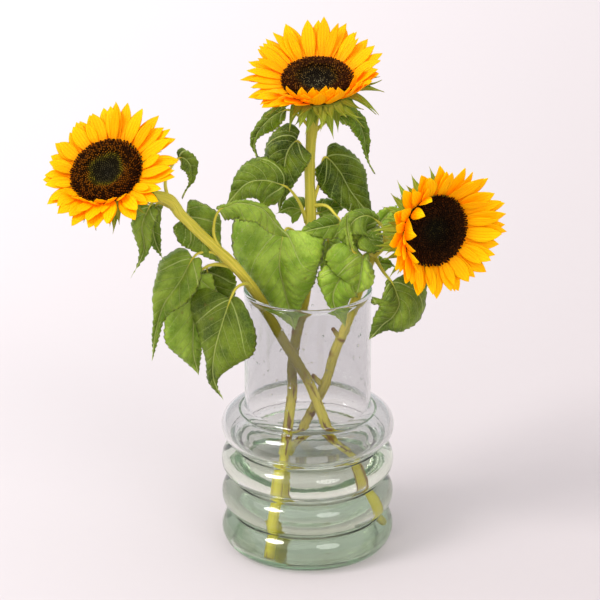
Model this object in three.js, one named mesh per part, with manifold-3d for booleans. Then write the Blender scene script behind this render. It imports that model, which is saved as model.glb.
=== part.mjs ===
// Three cut sunflowers standing in a ringed glass vase, about half filled with water.
// Millimetres, +Z up. The origin is the centre of the vase's foot and the front is on -Y.
import * as THREE from 'three';
import { mergeVertices } from 'three/addons/utils/BufferGeometryUtils.js';
import Module from 'manifold-3d';

// Vase: four rounded rings, a shoulder and a straight neck, blown as one piece.
const VASE_HEIGHT = 288;
const NECK_RADIUS = 65.7;
const WALL = 3.5;
const FOOT_RADIUS = 64;
const FLOOR_THICKNESS = 10;
const BOTTOM_RING = { centreRadius: 68, height: 22, section: 22 };
const RING_CENTRE_RADIUS = 71;
const RING_SECTION = 19;
const RING_HEIGHTS = [60, 98, 136];
const GROOVE_RADIUS = 76;
const VASE_SEGMENTS = 28;

// Water stands a little above the third ring, with plain holes for the stems.
const WATER_LEVEL = 124;
const CLEARANCE = 0.3;

// Heads: the disc, the ray petals round it and the green cup behind are separate solids.
// Heights are along the way a head faces, from the disc's edge. The disc's rings are radius and
// height pairs, highest round a sunken middle.
const DISC_RADIUS = 36.6;
const DISC_UNDERSIDE = -4;
const DISC_EDGE = -0.6;
const DISC_RINGS = [[35.4, 1.6], [30, 3.9], [23, 4.9], [16, 3.6], [9, 1.4]];
const DISC_MIDDLE = 0.6;
const DISC_SEGMENTS = 24;
const FLORET_RELIEF = 0.7;

// Petals: two rows on a narrow collar round the disc. An outline is pairs of a share of the
// length and a share of the width.
const COLLAR = { inside: 37.2, outside: 40.2, under: -3.9, top: -1.2 };
const PETAL_ROWS = [
  { rootRadius: 38.6, rootHeight: -2.9, steeper: 0, shorter: 0 },
  { rootRadius: 38, rootHeight: -1.9, steeper: 8, shorter: 0.06 },
];
const PETALS_PER_ROW = 16;
const PETAL_WIDTH = 15;
const PETAL_OUTLINE = [[0, 0.42], [0.375, 0.92], [0.708, 0.82]];
const PETAL_CHANNEL = 0.16;
const PETAL_HALF_THICKNESS = 0.6;

// Bracts: two rows of pointed green straps on the cup, the lower row turned further back.
const CUP_TOP = -4.4;
const CUP_DEPTH = 22;
const CUP_RADIUS = 41;
const CUP_SEGMENTS = 14;
const CUP_FLANK = [[8.5, -CUP_DEPTH], [14, -18.5], [27, -15], [38, -10.5], [CUP_RADIUS, -6.5]];
const BRACT_ROWS = [
  { rootRadius: 39, rootHeight: -6.4, turnedBack: 0 },
  { rootRadius: 34, rootHeight: -11, turnedBack: 20 },
];
const BRACTS_PER_ROW = 13;
const BRACT_LENGTH = 22;
const BRACT_WIDTH = 11;
const BRACT_OUTLINE = [[0, 1], [0.458, 0.66]];
const BRACT_CHANNEL = 0.2;
const BRACT_HALF_THICKNESS = 0.7;

// Each head has a centre, the way it faces and, at eight directions round it that start on the
// right and go up and round to the left, how far the petal tips reach, how steeply the petals
// rise and how far they curl from root to tip.
const HEADS = {
  left: {
    centre: [-199, -85, 444], facing: [-0.25, -0.58, 0.766], seed: 11,
    reach: [80, 75, 74, 63, 64, 68, 72, 77],
    rise: [17, 18, 18, 20, 16, 14, 14, 16],
    curl: [-14, -14, -14, -12, -14, -14, -14, -14],
    bractRise: -38, bractReach: [1, 1, 1, 1, 1, 1, 1, 1],
  },
  top: {
    centre: [10, 38, 499], facing: [0, -0.358, 0.934], seed: 23,
    reach: [63, 77, 81, 77, 77, 73, 52, 56],
    rise: [32, 18, 24, 16, 4, 2, 60, 50],
    curl: [-6, -14, -12, -12, -12, -10, 35, 30],
    bractRise: -12, bractReach: [1.4, 1.1, 1, 1, 1.15, 1, 1, 1.2],
  },
  right: {
    centre: [128, -48, 368], facing: [0.49, -0.87, 0.03], seed: 37,
    reach: [77, 73, 71, 70, 65, 64, 66, 71],
    rise: [25, 25, 24, 28, 38, 36, 28, 25],
    curl: [-16, -16, -14, -8, 4, 4, -12, -16],
    bractRise: -14, bractReach: [1, 1, 1, 1.1, 1.1, 1, 1, 1],
  },
};

// Stems run from the cut end in the water to the neck just under the head.
const STEMS = {
  left: {
    radius: 5.3,
    route: [
      [69, -2, 16], [46, -8, 72],
      [23, -13, 130], [4, -15, 182], [-7, -16, 205], [-28, -15, 241],
      [-46, -14, 276], [-68, -25, 313], [-89, -37, 341], [-109, -47, 365],
      [-128, -56, 389], [-142, -62, 408],
    ],
    stubs: [],
  },
  top: {
    radius: 5.4,
    route: [
      [-38, -66, 14], [-28, -40, 78],
      [-20, -12, 142], [-16, -4, 175], [-16, 4, 198], [-11, 14, 234],
      [-4, 24, 260], [2, 31, 306], [3, 36, 354], [2, 42, 406],
      [5, 48, 448],
    ],
    stubs: [],
  },
  right: {
    radius: 5,
    route: [
      [-21, 45, 15], [-15, 24, 70],
      [-6, 2, 126], [5, 2, 151], [19, 2, 182], [29, 2, 218],
      [40, 1, 246], [61, -2, 310], [71, -5, 331],
    ],
    stubs: [
      { from: [33, 2, 231], to: [26, -3, 244], radius: 2.6 },
      { from: [14, 2, 180], to: [5, -1, 191], radius: 2.8 },
    ],
  },
};

// Each leaf has a stalk that starts inside its stem, a midrib from the stalk's end to the tip,
// a width across both halves and the way its upper face looks. Each half has its own fold in
// degrees, and may have its own widths at even steps from the stalk's end to the tip.
const LEFT_LEAVES = [
  {
    stalk: [[-139, -60, 403], [-142, -56, 425], [-129, -54, 447]],
    rib: [[-129, -54, 447], [-118, -54, 441], [-117, -52, 423], [-126, -50, 402]],
    width: 24, facing: [0.72, -0.6, 0.3],
    fold: [8, 8], heart: 0, droop: 0.1, wave: 1.5,
    taper: 1.6,
  },
  {
    stalk: [[-135, -58, 395], [-143, -58, 402], [-154, -60, 403], [-158, -62, 399]],
    rib: [[-158, -62, 399], [-166, -62, 378], [-165, -60, 350], [-179, -58, 320]],
    width: 26, facing: [-0.2, -0.95, 0.2],
    fold: [8, 8], heart: 0.06, droop: 0.1, wave: 1.5,
    taper: 1.6,
  },
  {
    stalk: [[-130, -57, 390], [-140, -54, 396], [-152, -54, 398]],
    rib: [[-152, -54, 398], [-156, -52, 375], [-152, -50, 352], [-144, -48, 334]],
    width: 24, facing: [0.6, -0.8, 0.1],
    fold: [8, 8], heart: 0.06, droop: 0.1, wave: 1.5,
    taper: 1.6,
  },
  {
    stalk: [[-115, -52, 374], [-120, -47, 377], [-122, -44, 381]],
    rib: [[-122, -44, 381], [-109, -41, 364], [-98, -38, 346], [-87, -36, 328]],
    width: 56, facing: [0.15, -0.85, 0.5],
    fold: [14, -10], heart: 0.22, droop: 0.1, wave: 1.5,
    halves: [[18, 25, 22, 16, 9], [16, 27, 30, 24, 14]],
    taper: 1.6,
  },
  {
    stalk: [[-83, -34, 332], [-96, -40, 341], [-107, -46, 344], [-116, -50, 339]],
    rib: [[-116, -50, 339], [-129, -58, 317], [-146, -61, 292], [-155, -58, 259], [-159, -54, 228]],
    width: 54, facing: [-0.2, -0.88, 0.42],
    fold: [24, 22], heart: 0.1, droop: 0.1, wave: 1.5,
    halves: [[17, 35, 28, 9, 3.5], [8, 20, 19, 8, 5]],
    taper: 1.6,
  },
  {
    stalk: [[-78, -31, 323], [-95, -34, 326], [-105, -36, 323], [-112, -37, 316]],
    rib: [[-112, -37, 316], [-114, -38, 290], [-117, -39, 254], [-117, -38, 230], [-112, -36, 205]],
    width: 52, facing: [-0.1, -0.93, 0.35],
    fold: [6, -8], heart: 0.1, droop: 0.1, wave: 1.5,
    halves: [[14, 30, 31, 29, 15], [14, 20, 18, 11, 8]],
    taper: 1.6,
  },
  {
    stalk: [[-76, -30, 323], [-87, -24, 323], [-98, -19, 320], [-103, -18, 314]],
    rib: [[-103, -18, 314], [-95, -15, 294], [-88, -15, 278], [-82, -16, 263]],
    width: 44, facing: [0.1, -0.9, 0.4],
    fold: [8, 8], heart: 0.16, droop: 0.1, wave: 1.5,
    halves: [[12, 18, 21, 18, 10], [17, 24, 24, 20, 11]],
    taper: 1.6,
  },
  {
    stalk: [[-57, -20, 295], [-63, -36, 306], [-72, -50, 307], [-78, -60, 299]],
    rib: [[-78, -60, 299], [-87, -67, 274], [-95, -69, 243], [-96, -66, 214], [-86, -64, 189]],
    width: 76, facing: [-0.1, -0.9, 0.42],
    fold: [-24, 16], heart: 0.1, droop: 0.1, wave: 1.5,
    halves: [[52, 60, 31, 11, 8], [5, 36, 42, 22, 4]],
    taper: 1.6,
  },
  {
    stalk: [[-83, -35, 335], [-94, -42, 358], [-94, -44, 376], [-89, -44, 388]],
    rib: [
      [-89, -44, 388], [-80, -43, 392], [-68, -41, 395],
      [-46, -36, 387], [-32, -31, 368], [-18, -28, 353],
    ],
    width: 32, facing: [0.1, -0.66, 0.74],
    fold: [-14, -20], heart: 0.05, droop: 0.1, wave: 1.5,
    halves: [[10, 13, 17, 17, 11], [7, 7, 7, 10, 10]],
    taper: 0.8,
  },
];
const TOP_LEAVES = [
  {
    stalk: [[3, 48, 444], [-8, 56, 454], [-22, 60, 460]],
    rib: [[-22, 60, 460], [-42, 62, 447], [-55, 60, 426], [-51, 56, 400]],
    width: 26, facing: [-0.75, -0.55, 0.35],
    fold: [8, 8], heart: 0, droop: 0.1, wave: 1.5,
    taper: 1.6,
  },
  {
    stalk: [[6, 47, 440], [19, 56, 449], [31, 60, 454]],
    rib: [[31, 60, 454], [49, 60, 451], [58, 58, 432], [61, 56, 411], [70, 54, 392]],
    width: 24, facing: [0.7, -0.6, 0.35],
    fold: [8, 8], heart: 0, droop: 0.1, wave: 1.5,
    taper: 1.6,
  },
  {
    stalk: [[1, 42, 405], [-4, 38, 422], [-11, 32, 436]],
    rib: [[-11, 32, 436], [-21, 27, 425], [-25, 24, 401], [-30, 24, 361]],
    width: 56, facing: [-0.35, -0.88, 0.25],
    fold: [8, 8], heart: 0.12, droop: 0.1, wave: 1.5,
    taper: 1.15,
  },
  {
    stalk: [[6, 38, 370], [12, 42, 387], [14, 46, 404], [19, 48, 413]],
    rib: [[19, 48, 413], [33, 46, 398], [45, 42, 377], [68, 36, 348]],
    width: 54, facing: [0.3, -0.88, 0.35],
    fold: [8, 8], heart: 0.1, droop: 0.1, wave: 1.5,
    taper: 0.8,
  },
  {
    stalk: [[-1, 35, 347], [-8, 26, 370], [-16, 20, 385], [-24, 16, 393]],
    rib: [[-24, 16, 393], [-45, 8, 402], [-64, 2, 399], [-85, 0, 375]],
    width: 54, facing: [-0.15, -0.76, 0.63],
    fold: [8, 8], heart: 0.06, droop: 0.1, wave: 1.5,
    taper: 1.1,
  },
  {
    stalk: [[2, 32, 324], [-10, 20, 339], [-23, 8, 348]],
    rib: [[-28, -4, 342], [-29, -8, 318], [-24, -6, 288], [-19, -1, 266], [-13, 4, 239]],
    width: 98, facing: [-0.28, -0.86, 0.42],
    fold: [4, 4], heart: 0.14, droop: 0.1, wave: 1.5,
    halves: [[60, 54, 38, 29, 16], [43, 44, 37, 25, 11]],
    taper: 1.15,
  },
  {
    stalk: [[4, 37, 364], [19, 28, 367], [29, 18, 360], [33, 12, 354]],
    rib: [[33, 12, 354], [19, 4, 353], [0, 0, 350], [-17, -4, 344]],
    width: 30, facing: [0, -0.75, 0.65],
    fold: [8, 8], heart: 0.05, droop: 0.1, wave: 1.5,
    taper: 1.6,
  },
  {
    stalk: [[3, 37, 356], [11, 44, 353]],
    rib: [[11, 44, 353], [26, 48, 357], [46, 48, 361]],
    width: 30, facing: [0.1, -0.75, 0.65],
    fold: [8, 8], heart: 0.05, droop: 0.1, wave: 1.5,
    taper: 1.6,
  },
  {
    stalk: [[2, 36, 353], [-5, 40, 357]],
    rib: [[-5, 40, 357], [-18, 42, 360], [-33, 40, 354]],
    width: 32, facing: [0, -0.8, 0.6],
    fold: [8, 8], heart: 0.05, droop: 0.1, wave: 1.5,
    taper: 1.6,
  },
  {
    stalk: [[3, 33, 333], [13, 34, 332], [21, 34, 327]],
    rib: [[21, 34, 327], [21, 36, 302], [15, 32, 273]],
    width: 30, facing: [0.2, -0.95, 0.2],
    fold: [8, 8], heart: 0.1, droop: 0.1, wave: 1.5,
    taper: 1.6,
  },
];
const RIGHT_LEAVES = [
  {
    stalk: [[74, -8, 338], [78, -16, 354], [72, -21, 367]],
    rib: [
      [72, -21, 367], [60, -26, 376], [48, -29, 373],
      [41, -30, 361], [44, -27, 347], [51, -22, 333],
    ],
    width: 40, facing: [-0.15, -0.84, 0.5],
    fold: [-20, -24], heart: 0.02, droop: 0.1, wave: 1.5,
    halves: [[4, 9, 13, 14, 10], [20, 38, 42, 36, 22]],
    taper: 0.7,
  },
  {
    stalk: [[68, -4, 324], [64, -14, 330], [57, -24, 332]],
    rib: [[57, -24, 332], [55, -30, 322], [53, -33, 308], [50, -31, 293]],
    width: 58, facing: [-0.14, -0.9, 0.42],
    fold: [16, 26], heart: 0.28, droop: 0.1, wave: 1.5,
    halves: [[36, 43, 38, 27, 13], [4, 9, 15, 17, 12]],
    taper: 1.6,
  },
  {
    stalk: [[58, -2, 301], [50, -12, 312], [43, -20, 316]],
    rib: [[43, -20, 316], [30, -29, 303], [26, -31, 284], [38, -24, 254]],
    width: 46, facing: [-0.1, -0.93, 0.36],
    fold: [18, 8], heart: 0.12, droop: 0.1, wave: 1.5,
    halves: [[16, 23, 23, 11, 5], [8, 18, 25, 24, 15]],
    taper: 1.6,
  },
  {
    stalk: [[68, -5, 324], [77, -14, 311], [85, -25, 304]],
    rib: [
      [85, -25, 304], [90, -33, 296], [93, -39, 284],
      [86, -45, 273], [76, -47, 265], [62, -48, 249],
    ],
    width: 72, facing: [0.2, -0.88, 0.42],
    fold: [20, -16], heart: 0.1, droop: 0.1, wave: 1.5,
    halves: [[3, 16, 32, 22, 14], [33, 39, 32, 22, 10]],
    taper: 1.6,
  },
  {
    stalk: [[67, -4, 322], [72, 2, 315]],
    rib: [[72, 2, 315], [82, 6, 311], [92, 8, 308]],
    width: 18, facing: [0.1, -0.6, 0.8],
    fold: [8, 8], heart: 0.05, droop: 0.1, wave: 1.5,
    taper: 1.6,
  },
  {
    stalk: [[72, -4, 330], [74, 6, 342], [73, 10, 352]],
    rib: [[73, 10, 352], [83, 12, 365], [94, 14, 375]],
    width: 20, facing: [0, -0.9, 0.4],
    fold: [8, 8], heart: 0.05, droop: 0.1, wave: 1.5,
    taper: 1.6,
  },
  {
    stalk: [[70, -5, 329], [57, -20, 330], [46, -32, 340]],
    rib: [[46, -32, 340], [41, -34, 359], [40, -33, 377], [44, -30, 391]],
    width: 10, facing: [-0.3, -0.9, 0.2],
    fold: [8, 8], heart: 0, droop: 0.1, wave: 1.5,
    taper: 1.6,
  },
];

// A blade is thickest on its midrib, less so half way out, and its edge is cut into teeth.
// The stalk runs on under the blade for a share of its length.
const RIB_HALF_THICKNESS = 0.8;
const BLADE_HALF_THICKNESS = 0.45;
const LEAF_TOOTH = 1.6;
const LOBE_LENGTH = 0.35;
const STALK_RADIUS = 1.9;
const STALK_END_RADIUS = 0.7;
const STALK_SUNK = 0.14;
const STALK_STEPS = 5;
const STALK_SIDES = 4;
const STEM_SIDES = 8;
const STEM_STEPS = 17;
const NECK_LENGTH = 14;

const wasm = await Module();
wasm.setup();

// One number from 0 to 1 at each call, the same ones each time for a given seed.
function seededNumbers(seed) {
  let state = seed;
  return () => {
    state = (Math.imul(state, 1664525) + 1013904223) >>> 0;
    return state / 4294967296;
  };
}

function vector(list) {
  return new THREE.Vector3(...list);
}

// A value between the eight directions of a head's list, at an angle in radians.
function aroundHead(list, angle) {
  const turn = ((angle / (2 * Math.PI)) % 1 + 1) % 1 * list.length;
  const before = Math.floor(turn) % list.length;
  const after = (before + 1) % list.length;
  const share = turn - Math.floor(turn);
  return list[before] * (1 - share) + list[after] * share;
}

// Welds a geometry's corners, drops triangles with no area and hands it over as a solid.
function toSolid(geometry) {
  const bare = new THREE.BufferGeometry();
  bare.setAttribute('position', geometry.getAttribute('position'));
  if (geometry.index) {
    bare.setIndex(geometry.index);
  }
  const welded = mergeVertices(bare, 1e-4);
  const corners = welded.index.array;
  const kept = [];
  for (let i = 0; i < corners.length; i += 3) {
    const [a, b, c] = [corners[i], corners[i + 1], corners[i + 2]];
    if (a !== b && b !== c && c !== a) {
      kept.push(a, b, c);
    }
  }
  return new wasm.Manifold(new wasm.Mesh({
    numProp: 3,
    vertProperties: new Float32Array(welded.getAttribute('position').array),
    triVerts: new Uint32Array(kept),
  }));
}

function joined(solids) {
  return solids.reduce((sum, next) => sum.add(next));
}

// The biggest connected body, without any loose scrap that joining has left.
function mainBody(solid) {
  const bodies = solid.decompose();
  return bodies.reduce((best, next) => (next.volume() > best.volume() ? next : best));
}

function toMesh(name, solid, material) {
  const result = solid.getMesh();
  const geometry = new THREE.BufferGeometry();
  geometry.setAttribute('position', new THREE.BufferAttribute(new Float32Array(result.vertProperties), 3));
  geometry.setIndex(new THREE.BufferAttribute(new Uint32Array(result.triVerts), 1));
  geometry.computeVertexNormals();
  const mesh = new THREE.Mesh(geometry, material);
  mesh.name = name;
  return mesh;
}

// A body turned about +Z from radius and height pairs that start and end on the axis.
function turned(profile, segments) {
  const points = profile.map(([radius, height]) => new THREE.Vector2(radius, height));
  const geometry = new THREE.LatheGeometry(points, segments);
  geometry.rotateX(Math.PI / 2);
  return geometry;
}

// A tube along a smooth curve whose radius goes evenly from one end to the other.
function tube(curve, steps, sides, startRadius, endRadius) {
  const positions = [];
  const corners = [];
  let across = null;
  for (let i = 0; i <= steps; i += 1) {
    const along = curve.getTangent(i / steps);
    const centre = curve.getPoint(i / steps);
    if (across === null) {
      const helper = Math.abs(along.z) < 0.8 ? new THREE.Vector3(0, 0, 1) : new THREE.Vector3(1, 0, 0);
      across = new THREE.Vector3().crossVectors(along, helper);
    }
    across.addScaledVector(along, -across.dot(along)).normalize();
    const over = new THREE.Vector3().crossVectors(along, across);
    const radius = startRadius + (endRadius - startRadius) * (i / steps);
    for (let j = 0; j < sides; j += 1) {
      const angle = 2 * Math.PI * j / sides;
      const point = centre.clone();
      point.addScaledVector(across, radius * Math.cos(angle));
      point.addScaledVector(over, radius * Math.sin(angle));
      positions.push(point.x, point.y, point.z);
    }
  }
  for (let i = 0; i < steps; i += 1) {
    for (let j = 0; j < sides; j += 1) {
      const a = i * sides + j;
      const b = i * sides + (j + 1) % sides;
      corners.push(a, b, b + sides, a, b + sides, a + sides);
    }
  }
  const last = steps * sides;
  for (let j = 1; j < sides - 1; j += 1) {
    corners.push(0, j + 1, j);
    corners.push(last, last + j, last + j + 1);
  }
  const geometry = new THREE.BufferGeometry();
  geometry.setAttribute('position', new THREE.Float32BufferAttribute(positions, 3));
  geometry.setIndex(corners);
  return geometry;
}

// A thin blade: a sheet of points, each with its own half thickness along its normal, split
// into triangles alike on both faces. At the rim the half thickness is zero and both faces meet.
function blade(sheet, triangles) {
  const positions = [];
  const corners = [];
  for (const side of [1, -1]) {
    for (const { point, normal, half } of sheet) {
      const moved = point.clone().addScaledVector(normal, side * half);
      positions.push(moved.x, moved.y, moved.z);
    }
  }
  for (const [a, b, c] of triangles) {
    corners.push(a, b, c);
    corners.push(a + sheet.length, c + sheet.length, b + sheet.length);
  }
  const geometry = new THREE.BufferGeometry();
  geometry.setAttribute('position', new THREE.Float32BufferAttribute(positions, 3));
  geometry.setIndex(corners);
  return toSolid(geometry);
}

// Half the width of a leaf along its midrib: wide near the base and drawn out to a point.
function leafOutline(s, taper) {
  const widest = (2.9 - 0.6 * taper) / (2.9 + 2.9 * taper);
  const shape = (at) => (0.6 + 2.9 * at) * Math.pow(1 - at, taper) * (1 - 0.45 * at ** 3);
  return shape(s) / shape(widest);
}

function leafHalf(leaf, s, t) {
  if (!leaf.halves) {
    return leaf.width / 2 * leafOutline(s, leaf.taper);
  }
  const widths = [...leaf.halves[t > 0 ? 0 : 1], 0];
  const step = Math.min(Math.floor(s * (widths.length - 1)), widths.length - 2);
  return THREE.MathUtils.lerp(widths[step], widths[step + 1], s * (widths.length - 1) - step);
}

function leafSolid(leaf) {
  const route = [...leaf.stalk, ...leaf.rib.slice(1)].map(vector);
  const curve = new THREE.CatmullRomCurve3(route, false, 'catmullrom', 0.5);
  const bladeStart = (leaf.stalk.length - 1) / (route.length - 1);
  const rows = leaf.width > 60 ? 6 : leaf.width > 35 ? 5 : 4;
  const facing = vector(leaf.facing).normalize();
  const bladeLength = curve.getLength() * (1 - bladeStart);
  const sheet = [];
  const triangles = [];
  const place = (s, t, inset) => {
    const u = bladeStart + (1 - bladeStart) * s;
    const along = curve.getTangent(Math.min(u, 0.999));
    const side = new THREE.Vector3().crossVectors(along, facing).normalize();
    const up = new THREE.Vector3().crossVectors(side, along).normalize();
    const fold = THREE.MathUtils.degToRad(leaf.fold[t > 0 ? 0 : 1]);
    const reach = Math.abs(t) * (leafHalf(leaf, s, t) - inset);
    const back = leaf.heart * bladeLength * Math.pow(Math.max(0, 1 - s / LOBE_LENGTH), 2);
    const lift = Math.sin(fold) * reach - leaf.droop * reach * Math.abs(t)
      + leaf.wave * t * Math.sin(2 * Math.PI * (1.6 * s + 0.2 * Math.sign(t)));
    const point = curve.getPoint(u);
    point.addScaledVector(side, Math.sign(t) * reach * Math.cos(fold));
    point.addScaledVector(up, lift);
    point.addScaledVector(along, -back * Math.pow(Math.abs(t), 1.5));
    return { point, normal: up };
  };
  const add = (s, t, half, inset = 0) => {
    sheet.push({ ...place(s, t, inset), half });
    return sheet.length - 1;
  };
  let previous = null;
  for (let k = 0; k < rows; k += 1) {
    const s = k / rows;
    const rib = k === 0 ? 0 : RIB_HALF_THICKNESS;
    const flank = k === 0 ? 0 : BLADE_HALF_THICKNESS;
    const row = [add(s, -1, 0), add(s, -0.5, flank), add(s, 0, rib), add(s, 0.5, flank), add(s, 1, 0)];
    if (previous) {
      const middle = (k - 0.5) / rows;
      const leftNotch = add(middle, -1, 0, LEAF_TOOTH);
      const rightNotch = add(middle, 1, 0, LEAF_TOOTH);
      triangles.push([previous[0], previous[1], leftNotch], [leftNotch, previous[1], row[1]]);
      triangles.push([leftNotch, row[1], row[0]]);
      triangles.push([previous[1], previous[2], row[2]], [previous[1], row[2], row[1]]);
      triangles.push([previous[2], previous[3], row[3]], [previous[2], row[3], row[2]]);
      triangles.push([previous[3], previous[4], rightNotch], [previous[3], rightNotch, row[3]]);
      triangles.push([row[3], rightNotch, row[4]]);
    }
    previous = row;
  }
  const tip = add(1, 0, 0);
  for (let j = 0; j < 4; j += 1) {
    triangles.push([previous[j], previous[j + 1], tip]);
  }
  const body = blade(sheet, triangles);
  const stalkEnd = bladeStart + (1 - bladeStart) * STALK_SUNK;
  const stalkRoute = [];
  for (let i = 0; i <= STALK_STEPS; i += 1) {
    stalkRoute.push(curve.getPoint(stalkEnd * i / STALK_STEPS));
  }
  const stalk = new THREE.CatmullRomCurve3(stalkRoute, false, 'catmullrom', 0.5);
  return body.add(toSolid(tube(stalk, STALK_STEPS, STALK_SIDES, STALK_RADIUS, STALK_END_RADIUS)));
}

// A head's own directions: to the right, up and out of its face.
function headFrame(head) {
  const out = vector(head.facing).normalize();
  const right = new THREE.Vector3(1, 0, 0);
  right.addScaledVector(out, -right.dot(out)).normalize();
  const up = new THREE.Vector3().crossVectors(out, right);
  return new THREE.Matrix4().makeBasis(right, up, out).setPosition(vector(head.centre));
}

// A pointed strap that leaves the head at an angle, rises by a slope that changes evenly along
// it, and is channelled across. Its widest rows come from the outline, and the tip is a point.
function strap(shape) {
  const sheet = [];
  const triangles = [];
  const outward = new THREE.Vector3(Math.cos(shape.angle), Math.sin(shape.angle), 0);
  const across = new THREE.Vector3(-Math.sin(shape.angle), Math.cos(shape.angle), 0);
  const face = new THREE.Vector3(0, 0, 1);
  const steps = 24;
  const place = (s, t) => {
    let radius = shape.rootRadius;
    let height = shape.rootHeight;
    let slope = shape.rise - shape.curl / 2;
    for (let i = 0; i < Math.round(s * steps); i += 1) {
      slope = shape.rise + shape.curl * ((i + 0.5) / steps - 0.5);
      radius += shape.length / steps * Math.cos(slope);
      height += shape.length / steps * Math.sin(slope);
    }
    const normal = face.clone().multiplyScalar(Math.cos(slope)).addScaledVector(outward, -Math.sin(slope));
    const twisted = across.clone().multiplyScalar(Math.cos(shape.twist * s));
    twisted.addScaledVector(normal, Math.sin(shape.twist * s));
    const point = outward.clone().multiplyScalar(radius).addScaledVector(face, height);
    point.addScaledVector(twisted, t);
    point.addScaledVector(normal, shape.channel * Math.abs(t));
    return { point, normal };
  };
  const rows = shape.outline.length;
  for (let k = 0; k < rows; k += 1) {
    const [s, share] = shape.outline[k];
    for (const t of [-1, 0, 1]) {
      const half = k === 0 || t !== 0 ? 0 : shape.half;
      sheet.push({ ...place(s, t * share * shape.width / 2), half });
    }
    if (k > 0) {
      const a = (k - 1) * 3;
      triangles.push([a, a + 4, a + 1], [a, a + 3, a + 4]);
      triangles.push([a + 1, a + 4, a + 2], [a + 4, a + 5, a + 2]);
    }
  }
  sheet.push({ ...place(1, 0), half: 0 });
  const last = (rows - 1) * 3;
  triangles.push([last, last + 3, last + 1], [last + 1, last + 3, last + 2]);
  return blade(sheet, triangles);
}

// The petals of a head, each with its root sunk in the collar.
function petalSolid(head) {
  const draw = seededNumbers(head.seed);
  const { inside, outside, under, top } = COLLAR;
  const section = [[inside, under], [outside, under], [outside, top], [inside, top], [inside, under]];
  const parts = [toSolid(turned(section, DISC_SEGMENTS))];
  PETAL_ROWS.forEach(({ rootRadius, rootHeight, steeper, shorter }, row) => {
    for (let i = 0; i < PETALS_PER_ROW; i += 1) {
      const angle = 2 * Math.PI * (i + 0.5 * row + 0.35 * (draw() - 0.5)) / PETALS_PER_ROW;
      const rise = THREE.MathUtils.degToRad(aroundHead(head.rise, angle) + steeper + 5 * (draw() - 0.5));
      const curl = THREE.MathUtils.degToRad(aroundHead(head.curl, angle) + 10 * (draw() - 0.5));
      const reach = aroundHead(head.reach, angle) * (1 - shorter) - rootRadius + 5 * (draw() - 0.5);
      const width = PETAL_WIDTH * (0.9 + 0.2 * draw());
      parts.push(strap({
        angle,
        rise,
        curl,
        rootRadius,
        rootHeight,
        length: reach / Math.cos(rise),
        width,
        outline: PETAL_OUTLINE,
        twist: 0.5 * (draw() - 0.5),
        channel: PETAL_CHANNEL,
        half: PETAL_HALF_THICKNESS,
      }));
    }
  });
  return mainBody(joined(parts));
}

// The green cup behind a head, a turned body, with the bracts' roots sunk in it.
function bractSolid(head) {
  const draw = seededNumbers(head.seed + 100);
  const profile = [[0, -CUP_DEPTH], ...CUP_FLANK, [CUP_RADIUS - 1, CUP_TOP], [0, CUP_TOP]];
  const parts = [toSolid(turned(profile, CUP_SEGMENTS))];
  BRACT_ROWS.forEach(({ rootRadius, rootHeight, turnedBack }, row) => {
    for (let i = 0; i < BRACTS_PER_ROW; i += 1) {
      const angle = 2 * Math.PI * (i + 0.5 * row + 0.3 * (draw() - 0.5)) / BRACTS_PER_ROW;
      const rise = THREE.MathUtils.degToRad(head.bractRise - turnedBack + 12 * (draw() - 0.5));
      const length = BRACT_LENGTH * (0.85 + 0.3 * draw()) * aroundHead(head.bractReach, angle);
      parts.push(strap({
        angle,
        rise,
        curl: THREE.MathUtils.degToRad(24 * (draw() - 0.3)),
        rootRadius,
        rootHeight,
        length,
        width: BRACT_WIDTH,
        outline: BRACT_OUTLINE,
        twist: 0.4 * (draw() - 0.5),
        channel: BRACT_CHANNEL,
        half: BRACT_HALF_THICKNESS,
      }));
    }
  });
  return mainBody(joined(parts));
}

// The disc stands highest in a ring round a sunken middle, with the florets as small bumps.
function discSolid() {
  const positions = [];
  const corners = [];
  const edge = DISC_SEGMENTS;
  const levels = [[DISC_RADIUS, DISC_UNDERSIDE], [DISC_RADIUS, DISC_EDGE], ...DISC_RINGS];
  levels.forEach(([radius, height], k) => {
    for (let j = 0; j < edge; j += 1) {
      const angle = 2 * Math.PI * (j + 0.5 * (k % 2)) / edge;
      const bump = k > 1 ? FLORET_RELIEF * ((j + k) % 2 ? 1 : -1) : 0;
      positions.push(radius * Math.cos(angle), radius * Math.sin(angle), height + bump);
    }
  });
  const under = levels.length * edge;
  const middle = under + 1;
  positions.push(0, 0, DISC_UNDERSIDE, 0, 0, DISC_MIDDLE);
  for (let k = 0; k < levels.length - 1; k += 1) {
    for (let j = 0; j < edge; j += 1) {
      const next = (j + 1) % edge;
      const [a, b] = [k * edge + j, k * edge + next];
      const [c, d] = [a + edge, b + edge];
      if (k % 2 === 0) {
        corners.push(a, b, c, b, d, c);
      } else {
        corners.push(a, b, d, a, d, c);
      }
    }
  }
  for (let j = 0; j < edge; j += 1) {
    const next = (j + 1) % edge;
    const top = (levels.length - 1) * edge;
    corners.push(under, next, j, middle, top + j, top + next);
  }
  const geometry = new THREE.BufferGeometry();
  geometry.setAttribute('position', new THREE.Float32BufferAttribute(positions, 3));
  geometry.setIndex(corners);
  return toSolid(geometry);
}

function stemCurve(stem, head) {
  const out = vector(head.facing).normalize();
  const centre = vector(head.centre);
  const route = stem.route.map(vector);
  route.push(centre.clone().addScaledVector(out, -CUP_DEPTH - NECK_LENGTH));
  route.push(centre.clone().addScaledVector(out, -CUP_DEPTH - CLEARANCE));
  return new THREE.CatmullRomCurve3(route, false, 'catmullrom', 0.5);
}

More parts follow.
